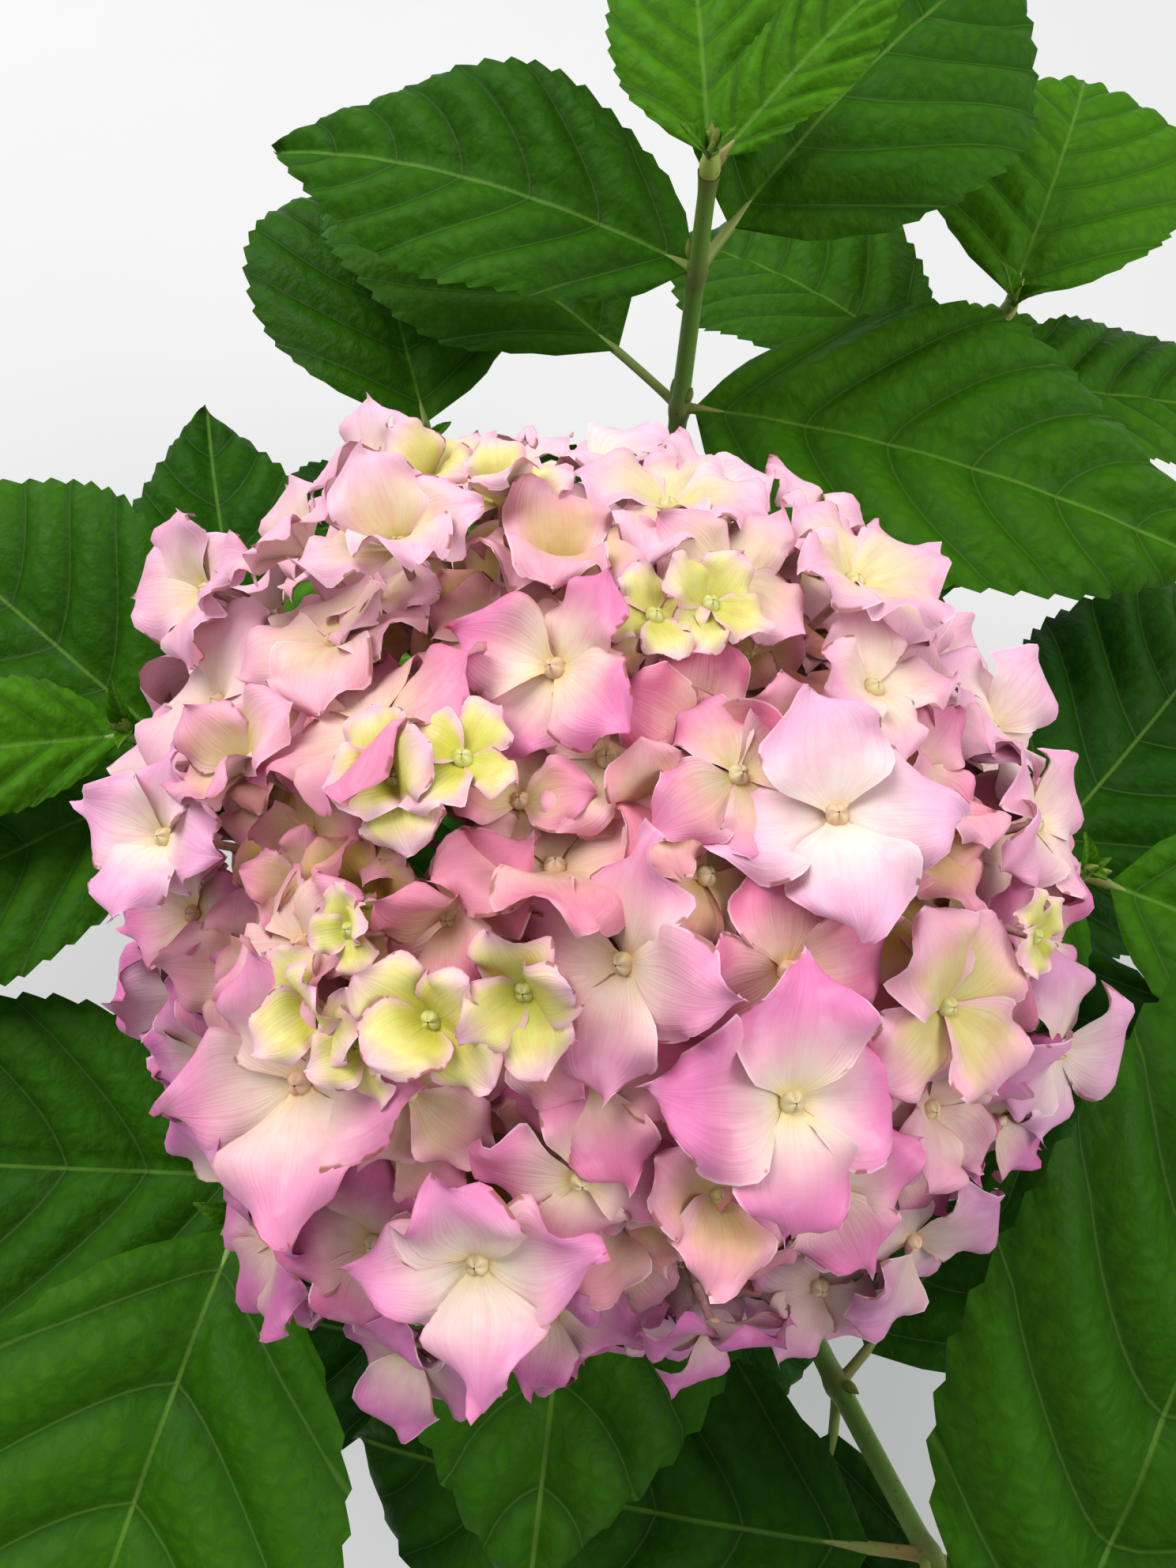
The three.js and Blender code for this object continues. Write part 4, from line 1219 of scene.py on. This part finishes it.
class Finish:
    """A material being made: each call adds one node and returns its output."""

    def __init__(self, name, roughness, specular=0.5):
        self.material = bpy.data.materials.new(name)
        self.material.use_nodes = True
        self.tree = self.material.node_tree
        self.shader = self.tree.nodes["Principled BSDF"].inputs
        self.shader["Roughness"].default_value = roughness
        self.shader["Specular IOR Level"].default_value = specular

    def node(self, kind, *values, output=0, **named):
        """One node. Values go to its inputs in order, a name with a capital is an input as well."""
        made = self.tree.nodes.new(kind)
        for key, value in named.items():
            if key[0].isupper():
                self.give(made.inputs[key], value)
            else:
                setattr(made, key, value)
        for socket, value in zip(made.inputs, values):
            self.give(socket, value)
        return made.outputs[output]

    def give(self, socket, value):
        if isinstance(value, bpy.types.NodeSocket):
            self.tree.links.new(value, socket)
        elif hasattr(value, "__len__") and socket.type == "RGBA":
            socket.default_value = (*value, 1)
        else:
            socket.default_value = value

    def attribute(self, name, output="Fac"):
        return self.node("ShaderNodeAttribute", output=output, attribute_name=name)

    def maths(self, operation, a, b=0.0):
        return self.node("ShaderNodeMath", a, b, operation=operation)

    def times(self, a, b):
        return self.maths("MULTIPLY", a, b)

    def plus(self, a, b):
        return self.maths("ADD", a, b)

    def minus(self, a, b):
        return self.maths("SUBTRACT", a, b)

    def larger(self, a, b):
        return self.maths("MAXIMUM", a, b)

    def scaled(self, vector, by):
        return self.node("ShaderNodeVectorMath", vector, by, operation="MULTIPLY")

    def parts(self, vector):
        return self.node("ShaderNodeSeparateXYZ", vector).node.outputs

    def object_place(self):
        return self.node("ShaderNodeTexCoord", output="Object")

    def noise(self, scale, detail=3.0, vector=None, roughness=0.5):
        place = vector or self.object_place()
        return self.node("ShaderNodeTexNoise", place, Scale=scale, Detail=detail, Roughness=roughness)

    def cells(self, scale, vector, feature="DISTANCE_TO_EDGE"):
        return self.node("ShaderNodeTexVoronoi", vector, feature=feature, Scale=scale)

    def range(self, value, low, high, to_low=0.0, to_high=1.0):
        values = (value, low, high, to_low, to_high)
        return self.node("ShaderNodeMapRange", *values, interpolation_type="SMOOTHSTEP")

    def mix(self, share, a, b, blend_type="MIX"):
        made = self.node("ShaderNodeMix", share, output=2, data_type="RGBA", blend_type=blend_type)
        self.give(made.node.inputs[6], a)
        self.give(made.node.inputs[7], b)
        return made

    def tinted(self, colour, by):
        return self.mix(1.0, colour, by, "MULTIPLY")

    def stained(self, colour, by, share):
        return self.mix(share, colour, self.tinted(colour, by))

    def finished(self, colour, height, strength, distance, roughness=None):
        """Gives the shader its colour, relief and roughness, and returns the material."""
        relief = self.node("ShaderNodeBump", Height=height, Strength=strength, Distance=distance)
        self.give(self.shader["Base Color"], colour)
        self.give(self.shader["Normal"], relief)
        if roughness:
            self.give(self.shader["Roughness"], roughness)
        return self.material


def leaf_finish():
    f = Finish("leaf_green", 0.5, specular=0.08)
    rib, across, along = f.parts(f.attribute("place", "Vector"))
    tone, under, seed = f.attribute("tone"), f.attribute("under"), f.attribute("seed")
    off = f.maths("ABSOLUTE", across)
    ridge = f.maths("ABSOLUTE", f.minus(f.maths("FRACT", rib), 0.5))
    side_vein = f.range(ridge, 0.474, 0.5)
    valley = f.range(ridge, 0.3, 0.5)
    middle = f.range(off, 0.8, 0.2)
    flat = f.node("ShaderNodeCombineXYZ", across, along, f.times(seed, 40.0))
    pillow = f.range(f.cells(0.2, flat), 0.0, 0.4)
    fine_pillow = f.range(f.cells(0.55, flat), 0.0, 0.45)
    veins = f.larger(middle, f.times(side_vein, 0.45))
    blotch = f.noise(11.0, 3.0)
    green = f.mix(f.range(blotch, 0.3, 0.7), srgb(26, 68, 2), srgb(42, 88, 6))
    # Lighter and yellower on young leaves and, as painted light, on those at the back and left; darker
    # with painted shade on low leaves.
    sunny = f.mix(f.range(f.plus(tone, f.times(blotch, 0.25)), 0.1, 0.85), green, srgb(68, 122, 6))
    shaded = f.mix(f.range(tone, 0.1, -0.6), sunny, srgb(20, 56, 4))
    # Painted shade in the side veins' valleys and along the fine net between the cushions.
    hollow_shade = f.tinted(shaded, (0.42, 0.5, 0.4))
    valley_shaded = f.mix(f.times(valley, 0.75), shaded, hollow_shade)
    net_shaded = f.mix(f.range(pillow, 0.0, 0.6, 0.28, 0.0), valley_shaded, hollow_shade)
    top = f.mix(f.times(veins, 0.42), net_shaded, srgb(112, 152, 56))
    net = f.larger(veins, f.range(pillow, 0.0, 0.3, 0.3, 0.0))
    back = f.mix(net, srgb(96, 132, 60), srgb(144, 170, 98))
    bars = f.maths("SINE", f.plus(f.times(off, 1.1), f.times(f.noise(60.0, 2.0), 7.0)))
    cushions = f.plus(f.times(pillow, 0.7), f.times(fine_pillow, 0.25))
    cushions = f.plus(cushions, f.times(bars, 0.22))
    height = f.minus(cushions, f.times(side_vein, 0.8))
    roughness = f.range(blotch, 0.2, 0.8, 0.48, 0.62)
    return f.finished(f.mix(under, top, back), height, 0.4, 0.0008, roughness)


def sepal_finish():
    f = Finish("sepal_pink", 0.5, specular=0.3)
    tint, place = f.attribute("tint", "Color"), f.attribute("place", "Vector")
    streaks = f.noise(1.0, 3.0, f.scaled(place, (7.0, 1.1, 1.0)))
    fine = f.noise(1.0, 2.0, f.scaled(place, (19.0, 1.6, 1.0)))
    veined = f.stained(tint, (0.94, 0.76, 0.84), f.range(streaks, 0.42, 0.72, 0.0, 0.26))
    veined = f.stained(veined, (0.92, 0.74, 0.82), f.range(fine, 0.5, 0.72, 0.0, 0.22))
    blotch = f.noise(1.0, 3.0, f.scaled(place, (2.2, 3.6, 1.7)))
    blotched = f.stained(veined, (0.95, 0.74, 0.85), f.range(blotch, 0.45, 0.7, 0.0, 0.5))
    mottled = f.mix(f.range(f.noise(240.0, 2.0), 0.52, 0.75, 0.0, 0.12), blotched, (0.95, 0.87, 0.93))
    across, along, seed = f.parts(place)
    off = f.maths("ABSOLUTE", across)
    rim = f.larger(f.range(off, 0.945, 0.985), f.range(along, 0.965, 0.99))
    margin = f.larger(f.range(off, 0.91, 0.96), f.range(along, 0.955, 0.98))
    edge = f.mix(f.range(seed, -4.0, 1.0), f.tinted(tint, (0.82, 0.5, 0.56)), RIM)
    rimmed = f.mix(f.times(rim, 0.5), mottled, edge)
    bitten = f.range(f.noise(1.0, 2.0, f.scaled(place, (1.6, 5.0, 1.3))), 0.57, 0.6)
    browned = f.times(f.times(margin, bitten), 0.8)
    colour = f.mix(browned, rimmed, srgb(150, 82, 58))
    height = f.plus(f.times(fine, 0.8), f.times(streaks, 0.6))
    return f.finished(colour, height, 0.28, 0.0005, f.range(streaks, 0.3, 0.7, 0.44, 0.58))


def bead_finish():
    f = Finish("floret_eye", 0.5)
    grain = f.noise(900.0, 2.0)
    speckled = f.mix(f.range(grain, 0.3, 0.7, 0.0, 0.35), f.attribute("tint", "Color"), (0.80, 0.72, 0.48))
    return f.finished(speckled, grain, 0.3, 0.0003)


def stem_finish():
    f = Finish("stem_and_bark", 0.6, specular=0.35)
    tint, green = f.attribute("tint", "Color"), f.attribute("green")
    place = f.object_place()
    fibres = f.noise(1.0, 4.0, f.scaled(place, (900.0, 900.0, 90.0)))
    specks = f.range(f.cells(360.0, place, "F1"), 0.22, 0.08)
    woody = f.minus(1.0, green)
    rough_tint = f.mix(f.range(fibres, 0.35, 0.7), f.tinted(tint, (0.45, 0.42, 0.38)), tint)
    coloured = f.mix(woody, tint, rough_tint)
    speckled = f.mix(f.times(specks, 0.55), coloured, srgb(96, 62, 44))
    height = f.times(fibres, f.plus(woody, 0.2))
    return f.finished(speckled, height, 0.6, 0.0008, f.range(woody, 0.0, 1.0, 0.45, 0.85))


def pot_finish():
    f = Finish("black_plastic", 0.55, specular=0.4)
    place = f.object_place()
    height = f.parts(place)["Z"]
    cloud = f.noise(9.0, 5.0, place, 0.6)
    streak = f.noise(1.0, 4.0, f.scaled(place, (60.0, 60.0, 7.0)))
    low = f.range(height, 0.05, 0.0)
    under_lip = f.range(height, 0.17, 0.2)
    dust = f.times(f.range(cloud, 0.42, 0.75), f.plus(f.plus(low, 0.18), f.times(under_lip, 0.25)))
    splash = f.times(f.range(streak, 0.55, 0.8), 0.3)
    plain = f.mix(f.range(cloud, 0.3, 0.7), (0.012, 0.012, 0.013), (0.02, 0.02, 0.022))
    dusty = f.mix(f.larger(dust, splash), plain, srgb(112, 104, 90))
    roughness = f.range(f.larger(dust, cloud), 0.3, 0.9, 0.42, 0.78)
    fine = f.noise(700.0, 2.0)
    moulded = f.times(f.noise(1.0, 1.0, f.scaled(place, (4.0, 4.0, 900.0))), 0.4)
    return f.finished(dusty, f.plus(fine, moulded), 0.18, 0.0004, roughness)


def compost_finish():
    f = Finish("compost_earth", 0.92, specular=0.2)
    chip = f.attribute("chip")
    grain, patch = f.noise(260.0, 5.0, None, 0.65), f.noise(26.0, 3.0)
    earth = f.mix(f.range(grain, 0.3, 0.7), srgb(30, 23, 17), srgb(74, 58, 42))
    chips = f.mix(f.range(chip, 0.3, 1.0), earth, srgb(128, 98, 66))
    mossy = f.mix(f.times(f.range(patch, 0.55, 0.68), 0.75), chips, srgb(84, 96, 38))
    return f.finished(mossy, grain, 0.9, 0.002)


FINISH = {
    "leaf": leaf_finish(),
    "sepal": sepal_finish(),
    "bead": bead_finish(),
    "stem": stem_finish(),
    "pot": pot_finish(),
    "compost": compost_finish(),
}

# Stage, light and camera, in metres and watts

CAMERA_PLACE = (-0.008, -0.0775, 0.6498)
CAMERA_TILT = 16
CAMERA_LENS = 27.0
SENSOR_WIDTH = 36
FLOOR_SIZE = 8
FLOOR_TONES = ((0.70, 0.70, 0.69), (0.76, 0.76, 0.75))
SKY_COLOUR = (0.95, 0.97, 1.0)
SKY_STRENGTH = 0.42
LIT_PLACE = (0, -0.03, 0.35)

# Place, size and power
KEY_LIGHT = ((-0.8, 0.9, 1.8), 1.4, 31)
FILL_LIGHT = ((1.5, -0.1, 1.7), 1.2, 20)


def make_camera():
    camera = new_object("camera", bpy.data.cameras.new("camera"))
    camera.data.sensor_width = SENSOR_WIDTH
    camera.data.lens = CAMERA_LENS
    camera.data.clip_start = 0.01
    camera.location = CAMERA_PLACE
    camera.rotation_euler = (math.radians(CAMERA_TILT), 0, 0)
    bpy.context.scene.camera = camera


def make_floor():
    bpy.ops.mesh.primitive_plane_add(size=FLOOR_SIZE)
    floor = bpy.context.object
    floor.name = "floor"
    f = Finish("floor_pale", 0.8)
    f.give(f.shader["Base Color"], f.mix(f.noise(3.0, 4.0), *FLOOR_TONES))
    floor.data.materials.append(f.material)


def add_lamp(name, place, size, power):
    """A round soft light aimed at the plant."""
    lamp = new_object(name, bpy.data.lights.new(name, "AREA"))
    lamp.data.shape = "DISK"
    lamp.data.size = size
    lamp.data.energy = power
    lamp.location = place
    lamp.rotation_euler = (Vector(LIT_PLACE) - Vector(place)).to_track_quat("-Z", "Y").to_euler()


def make_light():
    world = bpy.data.worlds.new("studio")
    world.use_nodes = True
    sky = world.node_tree.nodes["Background"].inputs
    sky["Color"].default_value = (*SKY_COLOUR, 1)
    sky["Strength"].default_value = SKY_STRENGTH
    bpy.context.scene.world = world
    add_lamp("key", *KEY_LIGHT)
    add_lamp("fill", *FILL_LIGHT)
    bpy.context.scene.view_settings.view_transform = "Standard"


stems = [Stem(name, order) for order, name in enumerate(SHOOTS)]
leaves = grow_leaves(stems)
make_pot()
make_compost()
make_bark(stems)
for stem in stems:
    make_shoot(stem, [item for item in leaves if item.shoot == stem.name])
make_flower_head(stems[0])
make_floor()
make_light()
make_camera()
